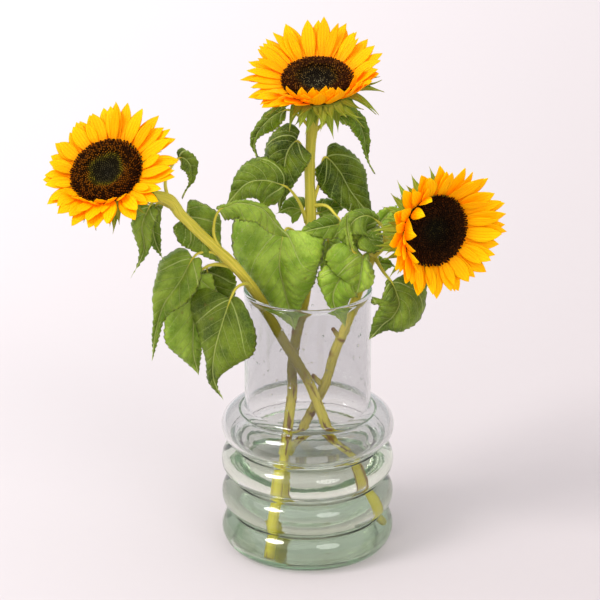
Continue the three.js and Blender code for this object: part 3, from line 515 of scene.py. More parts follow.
LEAVES = {
    "left": [
        leaf(
            [(-139, -60, 403), (-142, -56, 425), (-129, -54, 447)],
            [(-118, -54, 441), (-117, -52, 423), (-126, -50, 402)],
            width=24, facing=(0.72, -0.6, 0.3), heart=0, pale_and_lit=0.1),
        leaf(
            [(-135, -58, 395), (-143, -58, 402), (-154, -60, 403), (-158, -62, 399)],
            [(-166, -62, 378), (-165, -60, 350), (-179, -58, 320)],
            width=26, facing=(-0.2, -0.95, 0.2), heart=0.06, pale_and_lit=0.4),
        leaf(
            [(-130, -57, 390), (-140, -54, 396), (-152, -54, 398)],
            [(-156, -52, 375), (-152, -50, 352), (-144, -48, 334)],
            width=24, facing=(0.6, -0.8, 0.1), heart=0.06, pale_and_lit=0.3),
        leaf(
            [(-115, -52, 374), (-120, -47, 377), (-122, -44, 381)],
            [(-109, -41, 364), (-98, -38, 346), (-87, -36, 328)],
            width=56, facing=(0.15, -0.85, 0.5), fold=(14, -10), heart=0.22, pale_and_lit=0.3,
            halves=((18, 25, 22, 16, 9), (16, 27, 30, 24, 14))),
        leaf(
            [(-83, -34, 332), (-96, -40, 341), (-107, -46, 344), (-116, -50, 339)],
            [(-129, -58, 317), (-146, -61, 292), (-155, -58, 259), (-159, -54, 228)],
            width=54, facing=(-0.2, -0.88, 0.42), fold=(24, 22), heart=0.1, curl=0.5, pale_and_lit=0.4,
            halves=((17, 35, 28, 9, 3.5), (8, 20, 19, 8, 5))),
        leaf(
            [(-78, -31, 323), (-95, -34, 326), (-105, -36, 323), (-112, -37, 316)],
            [(-114, -38, 290), (-117, -39, 254), (-117, -38, 230), (-112, -36, 205)],
            width=52, facing=(-0.1, -0.93, 0.35), fold=(6, -8), heart=0.1, pale_and_lit=0.62,
            halves=((14, 30, 31, 29, 15), (14, 20, 18, 11, 8))),
        leaf(
            [(-76, -30, 323), (-87, -24, 323), (-98, -19, 320), (-103, -18, 314)],
            [(-95, -15, 294), (-88, -15, 278), (-82, -16, 263)],
            width=44, facing=(0.1, -0.9, 0.4), heart=0.16, pale_and_lit=0.1,
            halves=((12, 18, 21, 18, 10), (17, 24, 24, 20, 11))),
        leaf(
            [(-57, -20, 295), (-63, -36, 306), (-72, -50, 307), (-78, -60, 299)],
            [(-87, -67, 274), (-95, -69, 243), (-96, -66, 214), (-86, -64, 189)],
            width=76, facing=(-0.1, -0.9, 0.42), fold=(-24, 16), heart=0.1, curl=0.3, pale_and_lit=0.1,
            halves=((52, 60, 31, 11, 8), (5, 36, 42, 22, 4))),
        leaf(
            [(-83, -35, 335), (-94, -42, 358), (-94, -44, 376), (-89, -44, 388)],
            [(-80, -43, 392), (-68, -41, 395), (-46, -36, 387), (-32, -31, 368), (-18, -28, 353)],
            width=32, facing=(0.1, -0.66, 0.74), fold=(-14, -20), heart=0.05, taper=0.8, curl=0.3, pale_and_lit=0.55,
            halves=((10, 13, 17, 17, 11), (7, 7, 7, 10, 10))),
    ],
    "top": [
        leaf(
            [(3, 48, 444), (-8, 56, 454), (-22, 60, 460)],
            [(-42, 62, 447), (-55, 60, 426), (-51, 56, 400)],
            width=26, facing=(-0.75, -0.55, 0.35), heart=0, pale_and_lit=0.1),
        leaf(
            [(6, 47, 440), (19, 56, 449), (31, 60, 454)],
            [(49, 60, 451), (58, 58, 432), (61, 56, 411), (70, 54, 392)],
            width=24, facing=(0.7, -0.6, 0.35), heart=0, pale_and_lit=0.35),
        leaf(
            [(1, 42, 405), (-4, 38, 422), (-11, 32, 436)],
            [(-21, 27, 425), (-25, 24, 401), (-30, 24, 361)],
            width=56, facing=(-0.35, -0.88, 0.25), taper=1.15, pale_and_lit=0.0),
        leaf(
            [(6, 38, 370), (12, 42, 387), (14, 46, 404), (19, 48, 413)],
            [(33, 46, 398), (45, 42, 377), (68, 36, 348)],
            width=54, facing=(0.3, -0.88, 0.35), heart=0.1, taper=0.8, pale_and_lit=0.0),
        leaf(
            [(-1, 35, 347), (-8, 26, 370), (-16, 20, 385), (-24, 16, 393)],
            [(-45, 8, 402), (-64, 2, 399), (-85, 0, 375)],
            width=54, facing=(-0.15, -0.76, 0.63), heart=0.06, taper=1.1, pale_and_lit=0.2),
        leaf(
            [(2, 32, 324), (-10, 20, 339), (-23, 8, 348)],
            [(-29, -8, 318), (-24, -6, 288), (-19, -1, 266), (-13, 4, 239)],
            width=98, facing=(-0.28, -0.86, 0.42), fold=(4, 4), heart=0.14, taper=1.15, pale_and_lit=0.85,
            halves=((60, 54, 38, 29, 16), (43, 44, 37, 25, 11))),
        leaf(
            [(4, 37, 364), (19, 28, 367), (29, 18, 360), (33, 12, 354)],
            [(19, 4, 353), (0, 0, 350), (-17, -4, 344)],
            width=30, facing=(0, -0.75, 0.65), heart=0.05, pale_and_lit=0.4),
        leaf(
            [(3, 37, 356), (11, 44, 353)],
            [(26, 48, 357), (46, 48, 361)],
            width=30, facing=(0.1, -0.75, 0.65), heart=0.05, pale_and_lit=0.5),
        leaf(
            [(2, 36, 353), (-5, 40, 357)],
            [(-18, 42, 360), (-33, 40, 354)],
            width=32, facing=(0, -0.8, 0.6), heart=0.05, pale_and_lit=0.4),
        leaf(
            [(3, 33, 333), (13, 34, 332), (21, 34, 327)],
            [(21, 36, 302), (15, 32, 273)],
            width=30, facing=(0.2, -0.95, 0.2), heart=0.1, pale_and_lit=0.6),
    ],
    "right": [
        leaf(
            [(74, -8, 338), (78, -16, 354), (72, -21, 367)],
            [(60, -26, 376), (48, -29, 373), (41, -30, 361), (44, -27, 347), (51, -22, 333)],
            width=40, facing=(-0.15, -0.84, 0.5), fold=(-20, -24), heart=0.02, taper=0.7, curl=0.02,
            pale_and_lit=0.35, halves=((4, 9, 13, 14, 10), (20, 38, 42, 36, 22))),
        leaf(
            [(68, -4, 324), (64, -14, 330), (57, -24, 332)],
            [(55, -30, 322), (53, -33, 308), (50, -31, 293)],
            width=58, facing=(-0.14, -0.9, 0.42), fold=(16, 26), heart=0.28, curl=0.3, pale_and_lit=0.75,
            halves=((36, 43, 38, 27, 13), (4, 9, 15, 17, 12))),
        leaf(
            [(58, -2, 301), (50, -12, 312), (43, -20, 316)],
            [(30, -29, 303), (26, -31, 284), (38, -24, 254)],
            width=46, facing=(-0.1, -0.93, 0.36), fold=(18, 8), curl=0.3, pale_and_lit=0.85,
            halves=((16, 23, 23, 11, 5), (8, 18, 25, 24, 15))),
        leaf(
            [(68, -5, 324), (77, -14, 311), (85, -25, 304)],
            [(90, -33, 296), (93, -39, 284), (86, -45, 273), (76, -47, 265), (62, -48, 249)],
            width=72, facing=(0.2, -0.88, 0.42), fold=(20, -16), heart=0.1, curl=0.24, pale_and_lit=0.15,
            halves=((3, 16, 32, 22, 14), (33, 39, 32, 22, 10))),
        leaf(
            [(67, -4, 322), (72, 2, 315)],
            [(82, 6, 311), (92, 8, 308)],
            width=18, facing=(0.1, -0.6, 0.8), heart=0.05, pale_and_lit=0.9),
        leaf(
            [(72, -4, 330), (74, 6, 342), (73, 10, 352)],
            [(83, 12, 365), (94, 14, 375)],
            width=20, facing=(0, -0.9, 0.4), heart=0.05, pale_and_lit=0.9),
        leaf(
            [(70, -5, 329), (57, -20, 330), (46, -32, 340)],
            [(41, -34, 359), (40, -33, 377), (44, -30, 391)],
            width=10, facing=(-0.3, -0.9, 0.2), heart=0, pale_and_lit=0.5),
    ],
}


def seeded_numbers(seed):
    """One number from 0 to 1 at each call, the same ones each time for a given seed."""
    state = seed

    def draw():
        nonlocal state
        state = (state * 1664525 + 1013904223) & 0xFFFFFFFF
        return state / 4294967296
    return draw


class Route:
    """A smooth line through given points."""

    def __init__(self, points):
        self.points = [Vector(point) for point in points]

    def at(self, share):
        last = len(self.points) - 1
        place = min(max(share, 0.0), 1.0) * last
        index = min(int(place), last - 1)
        along = place - index
        start, end = self.points[index], self.points[index + 1]
        before = self.points[index - 1] if index > 0 else start * 2 - end
        after = self.points[index + 2] if index + 2 <= last else end * 2 - start
        leaving = (end - before) / 2
        arriving = (after - start) / 2
        bend = start * 2 - end * 2 + leaving + arriving
        swing = end * 3 - start * 3 - leaving * 2 - arriving
        return start + leaving * along + swing * along ** 2 + bend * along ** 3

    def heading(self, share):
        return (self.at(share + 0.0005) - self.at(share - 0.0005)).normalized()

    def length(self):
        stops = [self.at(i / 200) for i in range(201)]
        return sum((b - a).length for a, b in zip(stops, stops[1:]))


def head_place(head):
    """A head's own directions, to the right, up and out of its face, at its centre."""
    out = Vector(head["facing"]).normalized()
    right = (Vector((1, 0, 0)) - out * out.x).normalized()
    up = out.cross(right)
    place = Matrix((right, up, out)).transposed().to_4x4()
    place.translation = Vector(head["centre"])
    return place


def stem_route(side):
    head = HEADS[side]
    out = Vector(head["facing"]).normalized()
    centre = Vector(head["centre"])
    turn = centre - out * (CUP_DEPTH + TURN_UNDER_CUP)
    end = centre - out * (CUP_DEPTH - RUN_INTO_CUP)
    return Route(STEMS[side]["route"] + [turn, end])


def steps(count):
    """Even shares of the way from 0 to 1."""
    return [i / count for i in range(count + 1)]


def add_tube(shape, route, shares, sides, radius, mark):
    """A round rod along a route, its radius and marks worked out from the share of the way and the turn."""
    across = None
    rows = []
    for share in shares:
        along = route.heading(share)
        centre = route.at(share)
        if across is None:
            helper = Vector((0, 0, 1)) if abs(along.z) < 0.8 else Vector((1, 0, 0))
            across = along.cross(helper)
        across = (across - along * across.dot(along)).normalized()
        over = along.cross(across)
        row = []
        for turn in turns(sides):
            reach = radius(share, turn)
            place = centre + across * (reach * math.cos(turn)) + over * (reach * math.sin(turn))
            row.append(shape.point(place, **mark(share, turn)))
        rows.append(row)
    shape.wrap(rows)
    for row, share in ((rows[0], shares[0]), (rows[-1], shares[-1])):
        middle = shape.point(route.at(share), **mark(share, 0))
        for j in range(sides):
            shape.face(middle, row[j], row[(j + 1) % sides])


def leaf_route(plan):
    """A leaf's whole line from inside the stem to its tip, and the share of it where the blade starts."""
    points = plan["stalk"] + plan["rib"]
    return Route(points), (len(plan["stalk"]) - 1) / (len(points) - 1)


def add_hair(shape, root, outward, length, thickness, **marks):
    """A stiff short hair: a thin closed spike with three sides."""
    outward = outward.normalized()
    first = outward.orthogonal().normalized()
    second = outward.cross(first)
    foot = []
    for turn in HAIR_EDGES:
        aside = first * math.cos(turn) + second * math.sin(turn)
        foot.append(shape.point(root + aside * thickness, **marks))
    end = shape.point(root + outward * length, **marks)
    shape.face(foot[2], foot[1], foot[0])
    for j in range(3):
        shape.face(foot[j], foot[(j + 1) % 3], end)


def hair_shape(side):
    """The hairs of one stem above the vase's rings, and those of its leaf stalks."""
    draw = seeded_numbers(HEADS[side]["seed"] + 300)
    shape = Shape()

    def cover(route, start, end, count, size):
        for i in range(count):
            share = start + (end - start) * (i + draw()) / count
            along = route.heading(share)
            around = Vector((draw() - 0.5, draw() - 0.5, draw() - 0.5)).cross(along).normalized()
            outward = around + along * (0.5 * draw() - 0.1)
            root = route.at(share) + around * size * 0.9
            add_hair(shape, root, outward, 0.9 + 1.3 * draw() + size * 0.1, HAIR_THICKNESS)

    cover(stem_route(side), *HAIRY_STRETCH, STEM_HAIRS, STEMS[side]["radius"])
    for plan in LEAVES[side]:
        route, start = leaf_route(plan)
        cover(route, 0.1, start, STALK_HAIRS, STALK_RADIUS)
    return shape


class StalkRoute(Route):
    """A leaf's whole line, sunk into the blade's underside where it runs on as the midrib."""

    def __init__(self, plan):
        route, self.start = leaf_route(plan)
        super().__init__(route.points)
        self.facing = Vector(plan["facing"]).normalized()

    def at(self, share):
        under = max(0.0, share - self.start) / (1 - self.start)
        along = (super().at(share + 0.001) - super().at(share - 0.001)).normalized()
        side = along.cross(self.facing).normalized()
        return super().at(share) - side.cross(along) * min(1.0, under * 12) * MIDRIB_SINK


def add_stalk(shape, plan):
    """The leaf's stalk, flared at the stem and running on thinner as the midrib under the blade."""
    route, start = leaf_route(plan)
    whole = route.length()
    end = start + (1 - start) * MIDRIB_SHARE

    def radius(share, turn):
        flare = 1.2 * math.exp(-share * whole / 5)
        thinning = min(1.0, share / (start + (1 - start) * 0.3))
        size = STALK_RADIUS + (STALK_END_RADIUS - STALK_RADIUS) * thinning
        thin = max(0.0, share - start) / (end - start)
        under = 1 - 0.25 * min(1.0, thin * 8)
        return (size + flare) * under * (1 - 0.7 * thin) * (1 + 0.05 * math.sin(5 * turn))

    def mark(share, turn):
        under_blade = max(0.0, min(1.0, (share - start) * 12))
        place = (2 * math.cos(turn), 2 * math.sin(turn), share * whole + plan["width"] * 10)
        return {"stem_place": place, "scar": 0.0, "tint": 0.75 + under_blade * 0.7, "dull": 0.0}

    shares = [end * i / STALK_RINGS for i in range(STALK_RINGS + 1)]
    add_tube(shape, StalkRoute(plan), shares, STALK_SIDES, radius, mark)


def add_stub(shape, start, end, thickness):
    """What is left of a stalk that was cut off, browner towards its end."""
    def mark(share, turn):
        place = (2 * math.cos(turn), 2 * math.sin(turn), share * 12)
        return {"stem_place": place, "scar": share ** 2, "tint": 0.4, "dull": 0.35}

    line = Route([start, (Vector(start) + Vector(end)) / 2, end])
    add_tube(
        shape, line, steps(STUB_RINGS), STUB_SIDES,
        lambda share, turn: thickness * (1.15 - 0.3 * share), mark)


def stem_shape(side):
    """One stem with its stubs and its leaves' stalks.

    Tint is the share of the way up a stem, and goes from 0.75 to 1.45 on a stalk and midrib."""
    stem = STEMS[side]
    route = stem_route(side)
    shape = Shape()
    whole = route.length()
    drift = 10 * HEADS[side]["seed"]
    stops = [(route.at(share), share) for share in steps(STEM_RINGS)]
    joints = [Vector(plan["stalk"][0]) for plan in LEAVES[side]]
    joints += [Vector(stub[0]) for stub in stem["stubs"]]
    joint_shares = [min(stops, key=lambda stop: (stop[0] - joint).length)[1] for joint in joints]
    scar_shares = [min(stops, key=lambda stop: abs(stop[0].z - scar))[1] for scar in stem["scars"]]

    def closeness(share, spot, spread):
        return math.exp(-((share - spot) * whole / spread) ** 2)

    def radius(share, turn):
        swell = sum(JOINT_SWELL * closeness(share, joint, JOINT_SPREAD) for joint in joint_shares)
        swell += sum(SCAR_SWELL * closeness(share, scar, SCAR_SPREAD) for scar in scar_shares)
        neck = CUP_SWELL * max(0.0, 1 - (1 - share) * whole / CUP_SPREAD) ** 2
        ridge = RIDGE_SHARE * math.sin(STEM_RIDGES * turn + 1.5 * math.sin(3 * share + drift))
        lump = Vector((math.cos(turn), math.sin(turn), share * whole / 14 + drift))
        lumps = LUMP_SHARE * noise.noise(lump)
        return stem["radius"] * (0.97 + min(swell, MOST_SWELL) + neck + ridge + lumps)

    def mark(share, turn):
        scar = 0.0
        for number, spot in enumerate(scar_shares):
            aside = math.cos(turn - 2.1 * number - drift) * 0.5 + 0.5
            scar = max(scar, closeness(share, spot, SCAR_STAIN) * (0.15 + 0.85 * aside ** 2))
        place = (math.cos(turn) * stem["radius"], math.sin(turn) * stem["radius"], share * whole)
        return {"stem_place": place, "scar": scar, "tint": share, "dull": stem["dull"]}

    add_tube(shape, route, steps(STEM_RINGS), STEM_SIDES, radius, mark)
    for start, end, thickness in stem["stubs"]:
        add_stub(shape, start, end, thickness)
    for plan in LEAVES[side]:
        add_stalk(shape, plan)
    return shape


def stem_skin():
    """Green and yellow streaks, browned at scars and low down, and darkened by painted shade in the vase's
    neck.
    """
    finish = Finish("stem_skin")
    x, y, length = finish.split(finish.mark("stem_place"))
    streak = finish.speckle(finish.join(x * 0.9, y * 0.9, length * 0.035), 1.0, 4.0)
    blotch = finish.speckle(finish.join(x * 0.25, y * 0.25, length * 0.05), 1.0, 3.0)
    fine = finish.speckle(finish.join(x * 2.2, y * 2.2, length * 0.5), 1.0, 2.0)
    tint = finish.mark("tint", "Fac")
    colour = finish.blend(streak.fade(0.3, 0.7), STEM_GREEN, STEM_YELLOW)
    colour = finish.blend(tint.fade(0.55, 0.8) * 0.3, colour, UPPER_STEM)
    colour = finish.blend(fine.fade(0.62, 0.8) * 0.3, colour, PALE_FLECK)
    colour = finish.blend(tint.fade(0.12, 0.24, 0.7, 0.0), colour, WET_STEM)
    # Painted shade: inside the vase's neck each stem is darkened towards a shaded green, more on some stems
    # than others.
    in_neck = tint.fade(0.2, 0.3) * tint.fade(0.45, 0.55, 1.0, 0.0)
    colour = finish.blend(in_neck * finish.mark("dull", "Fac"), colour, SHADED_STEM)
    colour = finish.blend(tint.fade(1.0, 1.4) * 0.8, colour, MIDRIB_GREEN)
    worn = tint.fade(0.2, 0.55, 1.0, 0.12)
    bruise = finish.mark("scar", "Fac") + blotch.fade(0.50, 0.64) * worn * 0.8
    bruise = (bruise * streak.fade(0.3, 0.6, 0.5, 1.0)).fade(0.1, 0.9)
    brown = bruise.larger(streak.fade(0.60, 0.72) * worn * 0.5)
    finish.set(base_color=finish.blend(brown, colour, SCAR_BROWN), roughness=fine.fade(0.3, 0.7, 0.45, 0.7))
    finish.set(subsurface_weight=0.2, subsurface_scale=0.002, subsurface_radius=(0.9, 1.0, 0.2))
    finish.sheen(0.15)
    finish.relief(streak * 0.4 + fine * 0.6, 0.0003, 0.7)
    return finish


def hair_skin():
    finish = Finish("plant_hair")
    frost = finish.speckle(finish.node("ShaderNodeTexCoord", result="Object"), 300.0, 2.0)
    finish.set(base_color=finish.blend(frost.fade(0.3, 0.7), HAIR_GREEN, HAIR_WHITE))
    finish.set(roughness=frost.fade(0.3, 0.7, 0.4, 0.6))
    return finish


stem_finish = stem_skin()
hair_finish = hair_skin()
for side in HEADS:
    stem = stem_shape(side).build(f"{side}_stem_and_stalks", stem_finish)
    hairs = hair_shape(side).build(f"{side}_stem_hairs", hair_finish)
    for piece in (stem, hairs):
        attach(piece, "root")
        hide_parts(f"{side}_leafy_stem")


# The leaves
# Soft heart-shaped leaves on long stalks, drooping and waved, with a toothed edge. Three strong
# pale veins leave the base, side veins branch from the midrib and the blade is puffed between them.

LEAF_COLUMNS = 11
TOOTH_LENGTH = 4.8
TOOTH_DEPTH = 1.8
ROWS_PER_TOOTH = 4
# The side veins' distance, how far they slant forwards, how that grows towards the tip, and how
# much further on they leave one side of the midrib than the other.
VEIN_SPACING = 10.5
VEIN_SLANT = 0.62
VEIN_TURN = 0.007
VEIN_LEAD = 2.5
# How far the blade hangs towards its edge, waves along it, puffs up between the veins, sinks at
# the midrib and flutters at the edge.
EDGE_DROOP = 0.1
WAVE = 1.5
PUFF = 2.2
GROOVE = 1.3
GROOVE_WIDTH = 1.6
FLUTTER = 5.0
# Half the blade's thickness, and what the midrib adds to it over how wide a strip.
SHEET_HALF = 0.30
RIB_HALF = 0.35
RIB_REACH = 3

# The deep greens serve leaves in painted shade and the light greens leaves painted as lit, as well as the
# leaves' own darker and lighter tones.
DEEP_GREENS = (tone(54, 71, 0), tone(98, 115, 6))
LIGHT_GREENS = (tone(130, 163, 38), tone(180, 208, 80))
UNDERSIDE_GREENS = (tone(142, 160, 84), tone(158, 174, 100))
NET_GREEN = tone(160, 182, 84)
EDGE_GREEN = tone(150, 172, 70)
VEIN_GREEN = tone(196, 208, 124)
SPOT_BROWN = tone(122, 98, 44)


def leaf_outline(share, taper):
    """Half the width of a leaf along its midrib, up to 1 where it is widest."""
    widest = (2.9 - 0.6 * taper) / (2.9 + 2.9 * taper)

    def form(at):
        return (0.6 + 2.9 * at) * (1 - at) ** taper * (1 - 0.45 * at ** 3)
    return form(share) / form(widest)


def add_leaf(shape, plan, seed):
    """One blade, in rows from its base to its tip and columns from edge to edge."""
    route, start = leaf_route(plan)
    blade = route.length() * (1 - start)
    rows = max(5, round(blade / TOOTH_LENGTH)) * ROWS_PER_TOOTH
    facing = Vector(plan["facing"]).normalized()
    folds = [math.radians(angle) for angle in plan["fold"]]
    halves = [Route([(width, 0, 0) for width in (*widths, 0)]) for widths in plan["halves"]]

    def half_width(s, which):
        if halves:
            return max(0.0, halves[which].at(s).x)
        return plan["width"] / 2 * leaf_outline(s, plan["taper"])

    def spot(row, t):
        """A point of the blade's middle sheet, its normal and its place along and across the blade."""
        s = row / rows
        which, sway = (0, 1) if t > 0 else (1, -1)
        share = start + (1 - start) * s
        along = route.heading(min(share, 0.999))
        side = along.cross(facing).normalized()
        up = side.cross(along).normalized()

        shoulder = math.sqrt(1 - (1 - min(s / 0.07, 1)) ** 2)
        saw = (row % ROWS_PER_TOOTH) / ROWS_PER_TOOTH
        notch = TOOTH_DEPTH * saw * min(1, s / 0.1) * min(1, (1 - s) / 0.12)
        half = half_width(s, which) * shoulder
        reach = abs(t) * max(0.0, half - notch)
        across = sway * reach
        back = plan["heart"] * blade * max(0.0, 1 - s / 0.35) ** 2 * shoulder
        forward = s * blade - back * abs(t) ** 1.5

        lift = math.sin(folds[which]) * reach - EDGE_DROOP * reach * abs(t)
        lift += WAVE * t * math.sin(2 * math.pi * (1.6 * s + 0.2 * sway))
        way = forward - reach * (VEIN_SLANT + VEIN_TURN * max(0.0, forward)) + sway * VEIN_LEAD
        puff = abs(math.sin(math.pi * way / VEIN_SPACING)) ** 0.8
        puff *= min(1.0, reach / 6) * min(1.0, (1 - abs(t)) * 4) * min(1.0, (1 - s) * 4)
        groove = math.exp(-(reach / GROOVE_WIDTH) ** 2) * min(1.0, (1 - s) * 3)
        arch = 0.18 * half * math.sin(math.pi * abs(t)) * (0.7 + noise.noise(Vector((s * 2.3, sway, seed))))
        flutter = noise.noise(Vector((s * 4 + seed, t * 1.3, seed * 0.7))) * abs(t) ** 1.5 * FLUTTER
        curl = plan["curl"] + 0.5 * noise.noise(Vector((s * 1.7 + seed, sway * 3.1, seed * 1.9)))

        place = route.at(share) + side * (across * math.cos(folds[which]))
        place += up * (lift + PUFF * puff + arch - GROOVE * groove)
        place += up * (flutter * min(1.0, half / 14) - curl * reach * t * t)
        place -= along * (back * abs(t) ** 1.5)
        return place, up, (forward, across, plan["pale_and_lit"])

    columns = [j / LEAF_COLUMNS for j in range(-LEAF_COLUMNS, LEAF_COLUMNS + 1)]
    upper = []
    lower = []
    for row in range(rows + 1):
        if row in (0, rows):
            place, up, mark = spot(row, 0)
            end = shape.point(place, leaf_place=mark, under=0.5, edge=1.0)
            upper.append([end] * len(columns))
            lower.append([end] * len(columns))
            continue
        tops = []
        bottoms = []
        for t in columns:
            place, up, mark = spot(row, t)
            half = SHEET_HALF * (1 - t ** 4) + RIB_HALF * math.exp(-(mark[1] / RIB_REACH) ** 2)
            if abs(t) == 1:
                rim = shape.point(place, leaf_place=mark, under=0.5, edge=1.0)
                tops.append(rim)
                bottoms.append(rim)
                continue
            tops.append(shape.point(place + up * half, leaf_place=mark, under=0.0, edge=abs(t)))
            bottoms.append(shape.point(place - up * half, leaf_place=mark, under=1.0, edge=abs(t)))
        upper.append(tops)
        lower.append(bottoms)
    shape.blade(upper, lower)


def leaf_skin():
    """Clouded green, paler below, with a pale midrib, side veins that match the puffs, and a net."""
    finish = Finish("leaf_blade")
    along, across, pale_and_lit = finish.split(finish.mark("leaf_place"))
    under = finish.mark("under", "Fac").fade(0.4, 0.6)
    edge = finish.mark("edge", "Fac")
    place = finish.node("ShaderNodeTexCoord", result="Object")
    cloud = finish.speckle(place, 45.0, 4.0)
    grain = finish.speckle(place, 700.0, 2.0)
    spots = finish.speckle(place, 150.0, 2.0).fade(0.70, 0.76)

    reach = abs(across)
    slant = along.larger(0.0) * VEIN_TURN + VEIN_SLANT
    way = along - reach * slant + across.sign() * VEIN_LEAD
    spread = abs((way / VEIN_SPACING).fraction() - 0.5) * VEIN_SPACING
    side_vein = spread.fade(VEIN_SPACING / 2 - 0.5, VEIN_SPACING / 2 - 0.1)
    side_vein = side_vein * reach.fade(4.0, 26.0, 1.0, 0.35)
    base_vein = abs(along - reach * slant * 1.25 - 1.0).fade(0.4, 1.0, 1.0, 0.0)
    midrib = reach.fade(0.35, 0.95, 1.0, 0.0)
    veins = midrib.larger(base_vein * reach.fade(6.0, 40.0, 0.9, 0.4)).larger(side_vein * 0.8)
    net = finish.node("ShaderNodeTexVoronoi", {"feature": "DISTANCE_TO_EDGE"}, {
        "Vector": finish.join(along, across, pale_and_lit), "Scale": 0.36}, result="Distance")
    net = net.fade(0.02, 0.10, 1.0, 0.0)

    patches = cloud.fade(0.35, 0.65)
    # Painted light and shade: each leaf's paleness blends from the deep greens of a shaded leaf to the light
    # greens of a lit one, along with its own tone.
    colour = finish.blend(pale_and_lit, finish.blend(patches, *DEEP_GREENS), finish.blend(patches, *LIGHT_GREENS))
    colour = finish.blend(under, colour, finish.blend(cloud, *UNDERSIDE_GREENS))
    colour = finish.blend(net * 0.2, colour, NET_GREEN)
    colour = finish.blend(edge.fade(0.94, 1.0) * 0.25, colour, EDGE_GREEN)
    colour = finish.blend(veins * 0.72, colour, VEIN_GREEN)
    colour = finish.blend(spots * 0.5, colour, SPOT_BROWN)
    finish.set(base_color=colour, roughness=grain.fade(0.3, 0.7, 0.40, 0.56))
    finish.set(subsurface_weight=0.3, subsurface_scale=0.0012, subsurface_radius=(0.7, 1.0, 0.25))
    finish.sheen(0.24)
    sunk = (veins + net * 0.3) * (under * 2 - 1)
    finish.relief(sunk * 0.8 + grain * 0.3 + cloud * 0.6, 0.0013, 1.0)
    return finish


leaf_finish = leaf_skin()
for side in HEADS:
    leaves = Shape()
    for number, plan in enumerate(LEAVES[side]):
        add_leaf(leaves, plan, HEADS[side]["seed"] + 3.7 * number)
    piece = leaves.build(f"{side}_leaves", leaf_finish)
    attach(piece, "root")
    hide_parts(f"{side}_leafy_stem")


# The cups and bracts
# Under each head the stem widens into a green cup set with rows of hairy, pointed bracts that
# stand out or hang back, each keeled along its middle and drawn out into a thin tail.

CUP_TOP = -4.4
# The cup's outline from the stem to its rim, as radius, nothing and height.
CUP_OUTLINE = [
    (5, 0, -CUP_DEPTH), (9, 0, -CUP_DEPTH + 0.5), (14, 0, -18.5), (27, 0, -15),
    (35.5, 0, -10.5), (38, 0, -7), (37, 0, CUP_TOP),
]
CUP_RINGS = 24
CUP_SEGMENTS = 72
# Each row's count, root radius and height, how far it is turned back and how long its bracts are.
BRACT_ROWS = [
    (13, 36, -6.6, 0, 1.1), (13, 31, -11.4, 20, 1.1), (24, 35, -5.6, -14, 0.86), (17, 26, -14.6, 36, 0.9),
]
BRACT_LENGTH = 22
BRACT_TAIL = 1.15
BRACT_WIDTH = 11
BRACT_HALF_THICKNESS = 0.5
BRACT_COLUMNS = 6
BRACT_HAIR = 0.06
STRAP_STEPS = 28

BRACT_ROOT_GREEN = tone(184, 196, 74)
BRACT_TIP_GREEN = tone(124, 142, 32)
BRACT_STREAK = tone(136, 156, 34)
BRACT_EDGE_GREEN = tone(96, 118, 20)
BRACT_TIP_BROWN = tone(118, 82, 30)
BRACT_KEEL = tone(206, 208, 110)


def around_head(values, angle):
    """A value between the eight directions of a head's list."""
    turn = (angle / (2 * math.pi)) % 1 * len(values)
    before = int(turn) % len(values)
    after = (before + 1) % len(values)
    share = turn - int(turn)
    return values[before] * (1 - share) + values[after] * share


def add_strap(shape, plan, columns, mark):
    """A pointed strap that leaves the head, rises by a slope that changes evenly along it, twists
    and is channelled across. It is a closed thin blade whose two faces meet at the rim."""
    outward = Vector((math.cos(plan["angle"]), math.sin(plan["angle"]), 0))
    sideways = Vector((-math.sin(plan["angle"]), math.cos(plan["angle"]), 0))
    face = Vector((0, 0, 1))
    radius = plan["root_radius"]
    height = plan["root_height"]
    slope = plan["rise"] - plan["curl"] / 2
    sway = 0.0
    upper = []
    lower = []
    for i in range(STRAP_STEPS + 1):
        s = i / STRAP_STEPS
        normal = face * math.cos(slope) - outward * math.sin(slope)
        twisted = sideways * math.cos(plan["twist"] * s) + normal * math.sin(plan["twist"] * s)
        raised = twisted.cross(outward * math.cos(slope) + face * math.sin(slope))
        raised = -raised if raised.dot(normal) < 0 else raised
        middle = outward * radius + face * height + sideways * sway
        at_end = i in (0, STRAP_STEPS)
        tops = []
        bottoms = []
        for j in range(columns + 1):
            if at_end and j > 0:
                tops.append(tops[0])
                bottoms.append(tops[0])
                continue
            t = 2 * j / columns - 1
            across = t * plan["half_width"](s)
            lift = plan["lift"](s, across, t)
            place = middle + twisted * across + raised * lift
            values = mark(s, across)
            if at_end or j in (0, columns):
                rim = shape.point(middle if at_end else place, side=0.5, **values)
                tops.append(rim)
                bottoms.append(rim)
                continue
            half = plan["half"] * (1 - t ** 4)
            tops.append(shape.point(place + raised * half, side=0.0, **values))
            bottoms.append(shape.point(place - raised * half, side=1.0, **values))
        upper.append(tops)
        lower.append(bottoms)
        slope = plan["rise"] + plan["curl"] * ((i + 0.5) / STRAP_STEPS - 0.5)
        radius += plan["length"] / STRAP_STEPS * math.cos(slope)
        height += plan["length"] / STRAP_STEPS * math.sin(slope)
        sway += plan["length"] / STRAP_STEPS * plan["lean"] * s
    shape.blade(upper, lower)
    return upper


